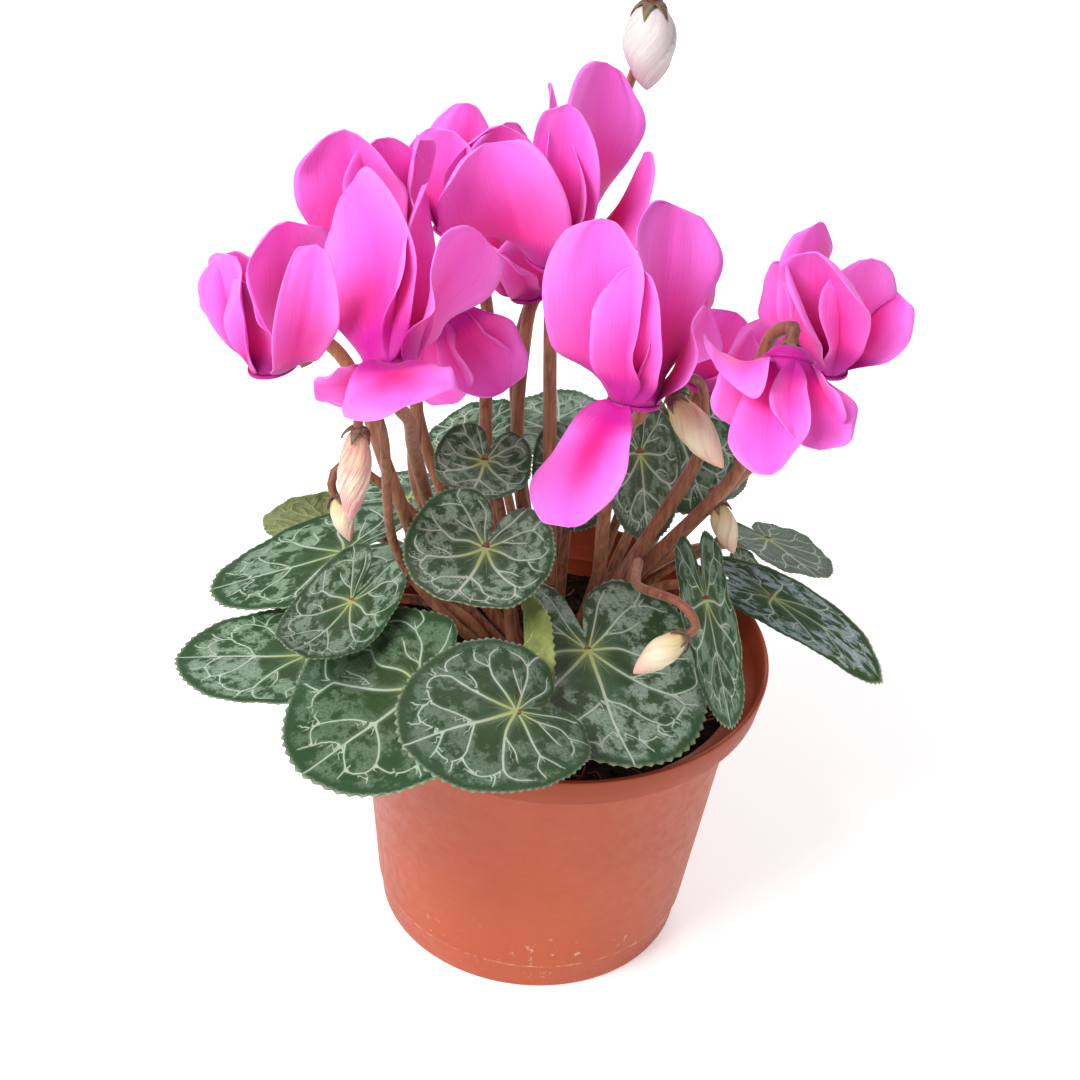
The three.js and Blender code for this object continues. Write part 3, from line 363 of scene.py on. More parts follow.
def make_mesh(name, points, faces, floats=None, uv=None):
    """A mesh object from millimetre points."""
    mesh = bpy.data.meshes.new(name)
    mesh.from_pydata((np.asarray(points) * MM).tolist(), [], faces)
    mark_points(mesh, floats or {})
    if uv is not None:
        corner = np.zeros(len(mesh.loops), np.int32)
        mesh.loops.foreach_get('vertex_index', corner)
        layer = mesh.uv_layers.new(name='spread')
        layer.data.foreach_set('uv', np.asarray(uv, np.float32)[corner].ravel())
    shade(mesh)
    mesh.update()
    return new_object(name, mesh)


def plain_mesh(piece):
    """The mesh that a piece's modifiers make."""
    bpy.context.view_layer.update()
    ready = piece.evaluated_get(bpy.context.evaluated_depsgraph_get())
    return bpy.data.meshes.new_from_object(ready)


def weld(piece):
    """Merges doubled points, drops faces without area and turns all faces outwards."""
    work = bmesh.new()
    work.from_mesh(piece.data)
    bmesh.ops.remove_doubles(work, verts=work.verts, dist=WELD_DISTANCE)
    bmesh.ops.dissolve_degenerate(work, edges=work.edges, dist=WELD_DISTANCE / 4)
    bmesh.ops.recalc_face_normals(work, faces=work.faces)
    work.to_mesh(piece.data)
    work.free()
    piece.data.update()


def finish_piece(piece, finish, slot, *nodes):
    piece.data.materials.clear()
    piece.data.materials.append(finish)
    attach(piece, 'root')
    if nodes:
        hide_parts(*nodes)


class Sheets:
    """Collects thin two-sided sheets, each from a grid of points, into one mesh."""

    def __init__(self):
        self.points, self.faces, self.values, self.uv = [], [], {}, []
        self.count = 0

    def add(self, grid, thickness, uv, values, closed=False, shift=None):
        """grid is rows by columns of points. A closed grid joins its last column to its first,
        and its first row is a single centre."""
        rows, columns = grid.shape[:2]
        ahead = np.gradient(grid, axis=0)
        if closed:
            aside = np.roll(grid, -1, axis=1) - np.roll(grid, 1, axis=1)
        else:
            aside = np.gradient(grid, axis=1)
        normal = unit(np.cross(ahead, aside))
        if closed:
            normal[0] = unit(normal[1].mean(0))
        else:
            normal[-1] = unit(normal[-2].mean(0))
        if shift is not None:
            grid = grid + normal * shift[..., None]
        half = np.broadcast_to(thickness, (rows, columns))[..., None] / 2
        size = rows * columns
        for sign, under in ((1, 0.0), (-1, 1.0)):
            self.points.append((grid + sign * normal * half).reshape(-1, 3))
            self.uv.append(np.broadcast_to(uv, (rows, columns, 2)).reshape(-1, 2))
            for key, value in {**values, 'under': under}.items():
                spread = np.broadcast_to(value, (rows, columns)).reshape(-1)
                self.values.setdefault(key, []).append(spread)
        number = np.arange(size).reshape(rows, columns) + self.count
        wide = np.hstack([number, number[:, :1]]) if closed else number
        a, b = wide[:-1, :-1].ravel(), wide[:-1, 1:].ravel()
        c, d = wide[1:, 1:].ravel(), wide[1:, :-1].ravel()
        self.faces += np.stack([a, d, c, b], 1).tolist()
        self.faces += (np.stack([b, c, d, a], 1) + size).tolist()
        if closed:
            edge = wide[-1]
        else:
            edge = np.concatenate([number[0, ::-1], number[1:, 0], number[-1, 1:],
                                   number[-2::-1, -1]])
        self.faces += [[p, q, q + size, p + size] for p, q in zip(edge[:-1], edge[1:])]
        self.count += 2 * size

    def piece(self, name):
        values = {key: np.concatenate(v) for key, v in self.values.items()}
        piece = make_mesh(name, np.vstack(self.points), self.faces, values, np.vstack(self.uv))
        weld(piece)
        return piece


# ---------------------------------------------------------------- node graphs

def colour(text):
    """A screen colour such as 'c8664a' as linear light."""
    parts = [int(text[i:i + 2], 16) / 255 for i in (0, 2, 4)]
    return [p / 12.92 if p <= 0.04045 else ((p + 0.055) / 1.055) ** 2.4 for p in parts] + [1.0]


class Graph:
    """Adds nodes to a tree. Inputs are given by name or number, as a socket, a plain value or a
    colour's text."""

    def __init__(self, tree):
        self.tree = tree

    def add(self, kind, inputs=None, out=0, **settings):
        node = self.tree.nodes.new(kind)
        for key, value in settings.items():
            setattr(node, key, value)
        for key, value in (inputs or {}).items():
            self.plug(value, node.inputs[key])
        return node.outputs[out] if node.outputs else node

    def plug(self, value, socket):
        if isinstance(value, bpy.types.NodeSocket):
            self.tree.links.new(value, socket)
        else:
            socket.default_value = colour(value) if socket.type == 'RGBA' else value

    def math(self, operation, *values):
        """The first value combined with each of the others in turn."""
        total = values[0]
        for value in values[1:] or (0.0,):
            total = self.add('ShaderNodeMath', {0: total, 1: value}, operation=operation)
        return total

    def times(self, *values):
        return self.math('MULTIPLY', *values)

    def plus(self, *values):
        return self.math('ADD', *values)

    def swing(self, noise, size):
        """A noise about zero, so many times its size."""
        return self.times(self.math('SUBTRACT', noise, 0.5), size)

    def step(self, value, low, high, start=0.0, end=1.0):
        return self.add('ShaderNodeMapRange', {0: value, 1: low, 2: high, 3: start, 4: end},
                        interpolation_type='SMOOTHSTEP')

    def mix(self, share, a, b):
        return self.add('ShaderNodeMix', {0: share, 6: a, 7: b}, 2, data_type='RGBA')

    def coat(self, body, share, strength, tint):
        """A tint laid over a colour where a share says so, at most as strong as given."""
        return self.mix(self.times(share, strength), body, tint)

    def attribute(self, name):
        return self.add('ShaderNodeAttribute', {}, 2, attribute_name=name)

    def place(self):
        return self.add('ShaderNodeTexCoord', {}, 3)

    def spread(self):
        """Where a point lies on its own sheet: plain, and set apart from other sheets by a seed."""
        plain = self.add('ShaderNodeUVMap', uv_map='spread')
        apart = self.add('ShaderNodeCombineXYZ', {2: self.attribute('seed')})
        return plain, self.add('ShaderNodeVectorMath', {0: plain, 1: apart}, operation='ADD')

    def noise(self, vector, scale, detail=3.0, rough=0.55, stretch=None):
        if stretch:
            vector = self.add('ShaderNodeMapping', {'Vector': vector, 'Scale': stretch})
        return self.add('ShaderNodeTexNoise', {'Vector': vector, 'Scale': scale, 'Detail': detail,
                                               'Roughness': rough})


class Finish(Graph):
    """A material's nodes. Other inputs of the shader are given by name."""

    def __init__(self, name, roughness, **inputs):
        self.material = bpy.data.materials.new(name)
        self.material.use_nodes = True
        super().__init__(self.material.node_tree)
        self.shader = self.tree.nodes['Principled BSDF']
        for key, value in {'Roughness': roughness, **inputs}.items():
            self.shader.inputs[key.replace('_', ' ')].default_value = value

    def done(self, tint, height, depth, strength=1.0, roughness=None):
        """Gives the shader its colour, its relief and, where it varies, its roughness."""
        bump = self.add('ShaderNodeBump', {'Height': height, 'Distance': depth,
                                           'Strength': strength})
        self.plug(bump, self.shader.inputs['Normal'])
        self.plug(tint, self.shader.inputs['Base Color'])
        if roughness:
            self.plug(roughness, self.shader.inputs['Roughness'])
        return self.material


# ---------------------------------------------------------------- finishes

def leaf_finish():
    """Dark green with marbled silver, pale veins and pale teeth; yellow-green underneath. On the
    most silvered blades the silver and haze take a painted bluish reflection of the sky.
    """
    g = Finish('marbled_leaf', 0.42, Specular_IOR_Level=0.45, Subsurface_Weight=0.05,
               Subsurface_Scale=0.001)
    spread, flat = g.spread()
    ray = g.add('ShaderNodeVectorMath', {0: spread}, operation='NORMALIZE')
    radial = g.add('ShaderNodeVectorMath', {0: ray, 1: flat, 2: flat}, operation='MULTIPLY_ADD')
    share, silver = g.attribute('share'), g.attribute('silver')
    streak = g.noise(radial, 2.6, 5, 0.7)
    cloud = g.noise(flat, 7.5, 5, 0.65)
    fine = g.noise(flat, 52, 3, 0.65)
    ragged = g.plus(share, g.swing(streak, 0.46))
    patch = g.times(g.step(ragged, 0.36, 0.46), g.step(ragged, 0.97, 0.88),
                    g.step(cloud, 0.45, 0.55), g.step(fine, 0.36, 0.54, 0.35, 1.0),
                    g.step(share, 0.97, 0.90), silver)
    haze = g.times(g.step(cloud, 0.35, 0.75), g.step(share, 0.96, 0.6), silver)
    # Painted reflection: the most silvered blades turn bluish in their silver and haze, as if they
    # mirrored the sky.
    sky_reflection_share = g.step(silver, 0.65, 0.85)
    green = g.mix(g.step(share, 0.35, 0.9), '2b441f', '274826')
    green = g.coat(green, haze, 0.45, g.mix(sky_reflection_share, '55805f', '5f7d80'))
    green = g.coat(green, patch, 0.86, g.mix(sky_reflection_share, 'a5bfa6', 'a8b8c0'))
    green = g.coat(green, g.step(fine, 0.55, 0.7), 0.25, '3f5a3c')
    green = g.coat(green, g.step(share, 0.24, 0.02), 0.45, '7c8c4c')
    wobble = g.swing(g.noise(flat, 30, 2, 0.5), 0.28)
    side = g.math('ABSOLUTE', g.plus(g.attribute('vein_side'), wobble))
    off = g.attribute('vein_off')
    vein = g.times(g.step(side, 1.1, 0.45), g.step(off, 5.5, 4.0))
    halo = g.times(g.step(side, 3.4, 1.0), g.step(off, 7.0, 4.0))
    tooth = g.times(g.attribute('tooth'), g.step(share, 0.965, 0.995))
    top = g.coat(green, halo, 0.30, '6f8a70')
    top = g.coat(top, vein, 0.85, g.mix(g.step(share, 0.08, 0.45), 'aab872', 'b7c7b4'))
    top = g.coat(top, tooth, 0.6, 'a9b898')
    back = g.mix(g.step(cloud, 0.3, 0.7), '5f6e36', '869650')
    back = g.coat(back, g.step(fine, 0.45, 0.7), 0.3, '6f5a3a')
    back = g.coat(back, vein, 0.5, 'b4bd84')
    height = g.plus(g.times(vein, -0.8), g.times(g.noise(flat, 60, 3), 0.35),
                    g.times(g.noise(flat, 12, 2), 0.9))
    return g.done(g.mix(g.attribute('under'), top, back), height, 0.0006, 0.55,
                  g.step(fine, 0.2, 0.8, 0.36, 0.56))


def petal_finish():
    """Violet-pink towards the margins and tip, a deeper hot pink down the middle that is partly
    painted shade in its crease, magenta at the mouth.
    """
    g = Finish('petal_skin', 0.55, Specular_IOR_Level=0.3, Subsurface_Weight=0.22,
               Subsurface_Scale=0.0015, Subsurface_Radius=(1.0, 0.35, 0.7), Sheen_Weight=0.12,
               Sheen_Roughness=0.4)
    spread, flat = g.spread()
    parts = g.add('ShaderNodeSeparateXYZ', {0: spread}).node
    along, across = parts.outputs[0], g.math('ABSOLUTE', parts.outputs[1])
    veins = g.noise(flat, 1.0, 3, 0.6, stretch=(2.6, 34.0, 1.0))
    warp = g.swing(g.noise(flat, 2.2, 2, 0.5), 0.25)
    body = g.mix(g.step(g.plus(along, warp), 0.15, 0.95), 'f32a9e', 'ff68d6')
    body = g.coat(body, g.math('POWER', across, 1.7), 0.85, 'ff86ea')
    # Hot pink down the middle of the inner face: partly the petal's own colour, partly painted shade
    # in the crease.
    crease_pink_and_shade = g.times(g.step(across, 0.55, 0.0), g.step(along, 0.95, 0.4))
    front = g.coat(body, crease_pink_and_shade, 0.85, 'e4107c')
    back = g.coat(body, g.step(along, 0.75, 0.1), 0.5, 'e01a88')
    back = g.coat(back, g.step(veins, 0.5, 0.72), 0.12, 'b02e80')
    skin = g.mix(g.attribute('under'), front, back)
    skin = g.coat(skin, g.step(veins, 0.52, 0.75), 0.06, 'c4187c')
    mouth = g.step(g.plus(along, g.swing(veins, 0.14)), 0.32, 0.13)
    skin = g.coat(skin, mouth, 0.92, 'b4088c')
    height = g.plus(veins, g.times(g.noise(flat, 30, 2), 0.3))
    return g.done(skin, height, 0.0004, 0.35)


def stalk_finish():
    """Red-brown with fine paler streaks, darker towards the flower, leaf or bud."""
    g = Finish('stalk_skin', 0.5, Specular_IOR_Level=0.4, Sheen_Weight=0.15)
    streak = g.noise(g.place(), 900, 3, 0.6, stretch=(1, 1, 0.08))
    patch = g.noise(g.place(), 60, 2, 0.5)
    skin = g.mix(g.step(streak, 0.3, 0.7), '74402a', 'a66a48')
    skin = g.coat(skin, g.step(patch, 0.45, 0.7), 0.4, 'b57d58')
    skin = g.mix(g.step(g.attribute('along'), 0.75, 1.0, 0.0, 0.5), skin, '5a2a2c')
    return g.done(skin, streak, 0.0003, 0.6)


def pot_finish():
    """Satin terracotta plastic: faint flow lines, a darker collar, and pale scuffs low down."""
    g = Finish('terracotta_plastic', 0.45, Specular_IOR_Level=0.32)
    place = g.place()
    height = g.add('ShaderNodeSeparateXYZ', {0: place}, 2)
    lines = g.noise(place, 30, 4, 0.6, stretch=(1, 1, 8))
    broad = g.noise(place, 14, 3, 0.5)
    dust = g.noise(place, 260, 5, 0.7)
    body = g.mix(g.step(broad, 0.3, 0.7), 'a84526', 'b8522c')
    body = g.coat(body, g.step(lines, 0.5, 0.75), 0.2, 'a24a32')
    body = g.mix(g.step(height, COLLAR_FROM, COLLAR_FULL, 0.0, 0.35), body, '8f381f')
    scuff = g.times(g.step(height, SCUFFS_TO, SCUFFS_FULL), g.step(dust, 0.60, 0.68),
                    g.step(broad, 0.45, 0.6))
    body = g.coat(body, scuff, 0.7, 'e2cfc2')
    rises, full, fades, ends = STEP_RING
    ring = g.times(g.step(height, rises, full), g.step(height, ends, fades),
                   g.step(dust, 0.4, 0.6))
    body = g.coat(body, ring, 0.5, 'e0b8a4')
    return g.done(body, g.plus(lines, g.times(dust, 0.3)), 0.0004, 0.3,
                  g.step(dust, 0.3, 0.7, 0.38, 0.52))


def soil_finish(name, dark, light):
    g = Finish(name, 0.92, Specular_IOR_Level=0.2)
    grain = g.noise(g.place(), 420, 5, 0.7)
    lump = g.noise(g.place(), 90, 3, 0.6)
    body = g.mix(g.step(grain, 0.35, 0.7), dark, light)
    body = g.mix(g.step(lump, 0.5, 0.7, 0.0, 0.5), body, '4a2418')
    return g.done(body, g.plus(grain, lump), 0.0012, 0.9)


def bud_finish():
    """Cream, yellowish at the stalk and flushed pink towards the tip, with twisted seams."""
    g = Finish('bud_skin', 0.5, Subsurface_Weight=0.15, Subsurface_Scale=0.001)
    spread = g.add('ShaderNodeUVMap', uv_map='spread')
    along = g.add('ShaderNodeSeparateXYZ', {0: spread}, 0)
    veins = g.noise(spread, 1.0, 3, 0.6, stretch=(3, 22, 1))
    body = g.mix(g.step(along, 0.05, 0.55), 'd9cf8f', 'efe3c0')
    body = g.mix(g.step(along, 0.55, 1.0, 0.0, 0.75), body, 'eeb1a4')
    body = g.mix(g.attribute('pale'), body, 'd8d2cf')
    stripe = g.times(g.attribute('blush'), g.step(veins, 0.42, 0.56))
    body = g.coat(body, stripe, 0.85, 'd8708c')
    body = g.coat(body, g.step(veins, 0.5, 0.75), 0.25, 'b99a78')
    return g.done(body, veins, 0.0004, 0.5)


def sepal_finish():
    g = Finish('sepal_skin', 0.6)
    patch = g.noise(g.place(), 300, 3, 0.6)
    body = g.mix(g.step(patch, 0.4, 0.62), '6d6a42', '6b3238')
    body = g.mix(g.step(patch, 0.66, 0.8, 0.0, 0.5), body, 'a8a078')
    return g.done(body, patch, 0.0003, 0.6)


def tuber_finish():
    g = Finish('tuber_bark', 0.85)
    rough = g.noise(g.place(), 220, 5, 0.7)
    return g.done(g.mix(g.step(rough, 0.35, 0.65), '2e1b14', '6b4632'), rough, 0.0015)


def plain_finish(name, tint, roughness, **inputs):
    g = Finish(name, roughness, **inputs)
    return g.done(tint, g.noise(g.place(), 300, 2), 0.0001, 0.2)


# ---------------------------------------------------------------- geometry node trees

def new_tree(name, numbers):
    """An empty tree with a named input for each number."""
    tree = bpy.data.node_groups.new(name, 'GeometryNodeTree')
    for way in ('INPUT', 'OUTPUT'):
        tree.interface.new_socket('Geometry', in_out=way, socket_type='NodeSocketGeometry')
    for label, value in numbers.items():
        kind = 'NodeSocketInt' if isinstance(value, int) else 'NodeSocketFloat'
        tree.interface.new_socket(label, in_out='INPUT', socket_type=kind).default_value = value
    return Graph(tree), tree.nodes.new('NodeGroupInput').outputs


def close_tree(g, geometry, finish):
    real = g.add('GeometryNodeRealizeInstances', {0: geometry})
    dressed = g.add('GeometryNodeSetMaterial', {0: real, 'Material': finish})
    g.plug(dressed, g.tree.nodes.new('NodeGroupOutput').inputs[0])
    return g.tree


def grown(name, base, make_tree, finish, **numbers):
    """Runs a tree on a base object and keeps only the plain mesh it makes."""
    tree = make_tree(finish, numbers)
    modifier = base.modifiers.new(name, 'NODES')
    modifier.node_group = tree
    labels = {item.name: item.identifier for item in tree.interface.items_tree
              if item.in_out == 'INPUT' and item.name != 'Geometry'}
    for label, value in numbers.items():
        modifier[labels[label]] = value
    mesh = plain_mesh(base)
    base.modifiers.remove(modifier)
    bpy.data.objects.remove(base)
    mesh.name = name
    shade(mesh)
    return new_object(name, mesh)


def chains(name, paths, thickness):
    """An object of loose point chains, one for each path, with a thickness at every point."""
    edges, start = [], 0
    for path in paths:
        edges += [[start + i, start + i + 1] for i in range(len(path) - 1)]
        start += len(path)
    mesh = bpy.data.meshes.new(name)
    mesh.from_pydata((np.vstack(paths) * MM).tolist(), edges, [])
    widths = [np.broadcast_to(width, len(path)) for path, width in zip(paths, thickness)]
    along = [np.linspace(0, 1, len(path)) for path in paths]
    mark_points(mesh, {'thickness': np.concatenate(widths), 'along': np.concatenate(along)})
    return new_object(name, mesh)


def sweep_tree(finish, numbers):
    """Turns every chain into a round stalk with closed ends."""
    g, given = new_tree('stalk_sweep', numbers)
    line = g.add('GeometryNodeMeshToCurve', {0: given['Geometry']})
    width = g.add('GeometryNodeInputNamedAttribute', {'Name': 'thickness'}, data_type='FLOAT')
    girth = g.times(width, given['Girth'], MM)
    ring = g.add('GeometryNodeCurvePrimitiveCircle', {'Resolution': given['Sides'], 'Radius': 1.0})
    body = g.add('GeometryNodeCurveToMesh', {'Curve': line, 'Profile Curve': ring, 'Scale': girth,
                                             'Fill Caps': True})
    return close_tree(g, g.add('GeometryNodeSetShadeSmooth', {0: body}), finish)


def lathe_tree(finish, numbers):
    """Carries a wall's section round the pot's axis."""
    g, given = new_tree('pot_lathe', numbers)
    section = g.add('GeometryNodeMeshToCurve', {0: given['Geometry']})
    ring = g.add('GeometryNodeCurvePrimitiveCircle',
                 {'Resolution': given['Turns'], 'Radius': g.times(given['Hub'], MM)})
    body = g.add('GeometryNodeCurveToMesh', {'Curve': ring, 'Profile Curve': section})
    return close_tree(g, body, finish)


def crumb_tree(finish, numbers):
    """Strews lumps of many sizes over a surface."""
    g, given = new_tree('soil_crumbs', numbers)
    spots = g.add('GeometryNodeDistributePointsOnFaces',
                  {'Mesh': given['Geometry'], 'Distance Min': g.times(given['Spacing'], MM),
                   'Density Max': 1e6, 'Seed': given['Seed']}, distribute_method='POISSON')
    lump = g.add('GeometryNodeMeshIcoSphere', {'Radius': MM, 'Subdivisions': 1})
    scale = g.add('FunctionNodeRandomValue',
                  {2: given['Smallest'], 3: given['Largest'], 'Seed': given['Seed']}, 1,
                  data_type='FLOAT')
    squash = g.add('FunctionNodeRandomValue',
                   {0: (0.6, 0.6, 0.4), 1: (1.3, 1.0, 0.8), 'Seed': 5}, 0,
                   data_type='FLOAT_VECTOR')
    turn = g.add('FunctionNodeRandomValue', {0: (0, 0, 0), 1: (6, 6, 6), 'Seed': 9}, 0,
                 data_type='FLOAT_VECTOR')
    size = g.add('ShaderNodeVectorMath', {0: squash, 'Scale': scale}, operation='SCALE')
    heap = g.add('GeometryNodeInstanceOnPoints', {'Points': spots, 'Instance': lump,
                                                  'Rotation': turn, 'Scale': size})
    return close_tree(g, heap, finish)


# ---------------------------------------------------------------- flowers

def flower_axes(bloom):
    t, w = math.radians(bloom.tilt), math.radians(bloom.toward)
    axis = np.array([math.sin(t) * math.cos(w), math.sin(t) * math.sin(w), math.cos(t)])
    x = unit(np.array([1.0, 0, 0]) - axis * axis[0])
    return axis, x, np.cross(axis, x)


def tube_length(bloom):
    return HUNG_TUBE_LENGTH if bloom.hung else TUBE_LENGTH


def backwards(bloom):
    """Which way the tube and the stalk lie from the mouth, along the flower's axis."""
    return -1 if bloom.hung else 1


def petal_half_width(u, width):
    swell = np.sin(np.clip(u / PETAL_WIDEST, 0, 1) * math.pi / 2) ** PETAL_SWELL
    rise = PETAL_BASE + (1 - PETAL_BASE) * swell
    fall = np.clip((u - PETAL_WIDEST) / (1 - PETAL_WIDEST), 0, 1) ** 2.2
    return 0.5 * width * np.where(u < PETAL_WIDEST, rise, np.sqrt(np.maximum(0, 1 - fall)))


def petal_spine(petal, u):
    """The petal's middle line: its points, and the ways along it, across it and out of it there."""
    fine = np.linspace(0, 1, 241)
    a = np.radians(petal.lean + petal.curl * (2 * fine - 1))
    b = np.radians(petal.sweep * fine * 1.6)
    heading = np.stack([np.cos(b) * np.sin(a), np.sin(b), np.cos(b) * np.cos(a)], 1)
    steps = (heading[1:] + heading[:-1]) / 2
    run = np.vstack([[0, 0, 0], np.cumsum(steps, 0) / len(steps)]) * petal.length
    middle = np.stack([np.interp(u, fine, run[:, i]) for i in range(3)], 1)
    along = unit(np.stack([np.interp(u, fine, heading[:, i]) for i in range(3)], 1))
    side = unit(np.array([0, 1.0, 0]) - along * along[:, 1:2])
    out = np.cross(side, along)
    turned = np.radians(petal.twist * u)[:, None]
    across = side * np.cos(turned) + out * np.sin(turned)
    lift = out * np.cos(turned) - side * np.sin(turned)
    return middle + [MOUTH_RADIUS, 0, 0], along, across, lift


def petal_grid(petal, bloom, seed, rows=30, columns=18):
    """The petal's middle surface as rows from root to tip and columns from margin to margin."""
    s = np.linspace(0, 1, rows + 1)
    u = 0.45 * s + 0.55 * np.sin(s * math.pi / 2)
    middle, along, across, lift = petal_spine(petal, u)
    uu, v = u[:, None], np.linspace(-1, 1, columns + 1)[None, :]
    edge = np.abs(v)
    free = smooth(uu / TUBE_SHARE)
    far = smooth((uu - 0.45) / 0.4)

    # The cup follows the tube at the mouth and is the petal's own further out.
    cup = np.where(v < 0, math.radians(petal.left), math.radians(petal.right)) * free
    cup = cup - petal_half_width(0.0, petal.width) / MOUTH_RADIUS * (1 - free)
    cup = np.where(np.abs(cup) < 1e-4, 1e-4, cup)
    reach = np.sign(v) * np.sin(cup * edge) / cup
    rise = (1 - np.cos(cup * edge)) / cup

    # Soft waves, the lap over the next petal, flutes near the tip and a crease down the middle.
    one_side = np.sign(v)
    rise = rise + 0.05 * v * v * np.sin(math.tau * (1.3 * uu + 0.25 * one_side)) * free
    frill = np.sin(math.tau * (2.6 * uu + 0.37 * seed * one_side))
    rise = rise + 0.035 * edge ** 3 * frill * free
    rise = rise - OVERLAP * v * free * smooth((0.8 - uu) / 0.4)
    rise = rise + FLUTE * v * v * np.sin(math.tau * (1.6 * v + 0.31 * seed)) * far
    crease = np.exp(-(v / 0.13) ** 2) * smooth((uu - 0.15) / 0.3) * smooth((1 - uu) / 0.15)
    rise = rise - CREASE * crease
    ripple = 0.025 * np.sin(11 * uu + 3 * seed) * edge ** 4
    uneven = 0.06 * np.sin(2.1 * seed) * v * far
    half = petal_half_width(uu, petal.width) * (1 + ripple + uneven)
    scallop = np.sin(4.2 * v + 1.7 * seed) * edge * far * smooth((1 - uu) / 0.08)
    grid = (middle[:, None] + across[:, None] * (half * reach)[..., None]
            + lift[:, None] * (half * rise)[..., None]
            + along[:, None] * (SCALLOP * petal.length * scallop)[..., None])

    axis, x, y = flower_axes(bloom)
    t = math.radians(petal.turn)
    radial = x * math.cos(t) + y * math.sin(t)
    around = y * math.cos(t) - x * math.sin(t)
    placed = grid @ np.stack([radial, around, axis]) + np.array(bloom.mouth)
    return placed, np.stack(np.broadcast_arrays(uu, v), -1)


def tube_grid(bloom, sides=40):
    """The round tube behind the mouth, from its closed end to its lip, and the lip's fold."""
    axis, x, y = flower_axes(bloom)
    angle = np.linspace(0, math.tau, sides, endpoint=False)
    ray = np.cos(angle)[:, None] * x + np.sin(angle)[:, None] * y
    rings = [ray * radius + axis * (share * tube_length(bloom) + more) * backwards(bloom)
             for radius, share, more in TUBE_PROFILE]
    return np.array(rings) + np.array(bloom.mouth)


def flower(bloom, index, finish):
    sheets = Sheets()
    for number, petal in enumerate(bloom.petals):
        seed = index * 1.7 + number * 2.3
        grid, uv = petal_grid(Petal(*petal), bloom, seed)
        thickness = PETAL_THICKNESS * (1 - 0.6 * np.clip(np.abs(uv[..., 1]), 0, 1) ** 4)
        sheets.add(grid, thickness, uv, {'seed': seed})
    sheets.add(tube_grid(bloom), TUBE_WALL, (0.06, 0.0), {'seed': index}, closed=True)
    finish_piece(sheets.piece(f'flower_{index:02d}'), finish, 'petal', bloom.name)


def sepals(end, axis, x, y, spread):
    """Pointed sepals that hug the back of a flower or bud from the stalk's end."""
    u = np.linspace(0, 1, 9)[:, None, None]
    v = np.linspace(-1, 1, 7)[None, :, None]
    half = SEPAL_HALF_WIDTH * (1 - u ** 1.6)
    out = 1.0 + 3.2 * np.sin(u * 1.25)
    drop = SEPAL_LENGTH * u ** 1.7
    for i in range(SEPALS):
        angle = i * math.tau / SEPALS + spread
        ray = x * math.cos(angle) + y * math.sin(angle)
        tangent = y * math.cos(angle) - x * math.sin(angle)
        yield end + ray * out - axis * drop + tangent * (half * v) - ray * (0.25 * v * v)


# ---------------------------------------------------------------- leaves

def leaf_outline(angle):
    """Distance from the stalk to the margin for angles in radians from the tip."""
    degrees = np.linspace(-180, 180, 721)
    plain = np.interp(np.abs(degrees), *np.array(LEAF_OUTLINE).T)
    window = np.hanning(33)
    window /= window.sum()
    eased = np.convolve(np.pad(plain, len(window) // 2, 'wrap'), window, 'valid')
    eased = np.where(np.abs(degrees) > NOTCH_FROM, np.minimum(eased, plain + 0.03), eased)
    return np.interp(np.degrees(angle), degrees, eased)


def bend_blade(leaf, x, y):
    """Gives flat blade points their cup, waves, droop and folds."""
    y = y * leaf.wide
    r = np.hypot(x, y)
    around = np.arctan2(y, x)
    z = leaf.cup * r * r
    z = z + WAVE_HEIGHT * r * r * np.cos(leaf.waves * around + math.radians(leaf.phase))
    droop = math.radians(leaf.droop)
    if droop:
        angle = droop * np.maximum(x, LEAST_DROOP_AT)
        radius = 1 / droop
        x, z = (radius + z) * np.sin(angle), (radius + z) * np.cos(angle) - radius
    for direction, distance, radius, angle in leaf.folds:
        ex, ey = math.cos(math.radians(direction)), math.sin(math.radians(direction))
        past = x * ex + y * ey - distance
        whole, up = math.radians(abs(angle)), math.copysign(1, angle)
        arc = np.clip(past / radius, 0, whole)
        rest = np.maximum(0, past - radius * whole)
        bend = radius - up * z
        ahead = bend * np.sin(arc) + rest * np.cos(arc)
        high = up * (radius - bend * np.cos(arc) + rest * np.sin(arc))
        folded = past > 0
        x = np.where(folded, x + (ahead - past) * ex, x)
        y = np.where(folded, y + (ahead - past) * ey, y)
        z = np.where(folded, high, z)
    return np.stack([x, y, z], -1) * leaf.size


def leaf_axes(leaf):
    h, p, r = math.radians(leaf.heading), math.radians(leaf.pitch), math.radians(leaf.roll)
    ahead = np.array([math.cos(h) * math.cos(p), math.sin(h) * math.cos(p), math.sin(p)])
    level = np.array([-math.sin(h), math.cos(h), 0])
    up = np.cross(ahead, level)
    return ahead, level * math.cos(r) + up * math.sin(r), up * math.cos(r) - level * math.sin(r)


def vein_pieces(seed):
    """Short straight pieces of all veins: starts, ends, and the widths at both."""
    draw = np.random.default_rng(int(seed * 10))
    pieces = []

    def lay(points, first, last, mirror=1):
        points = np.array(points) * [1, mirror]
        path = np.column_stack([points * 30, np.zeros(len(points))])
        path = smooth_path(path, 1.0)[:, :2] / 30
        width = np.linspace(first, last, len(path))
        pieces.append((path[:-1], path[1:], width[:-1], width[1:]))

    lay(*MIDRIB)
    for mirror in (1, -1):
        moves = {}
        for points, first, last in VEINS:
            for p in points:
                if p not in moves:
                    loose = 0.0 if p == (0, 0) else VEIN_WANDER
                    moves[p] = draw.uniform(-loose, loose, 2) * (1, 0 if p[1] == 0 else 1)
            lay([np.array(p) + moves[p] for p in points], first, last, mirror)
    return (np.concatenate(part) for part in zip(*pieces))


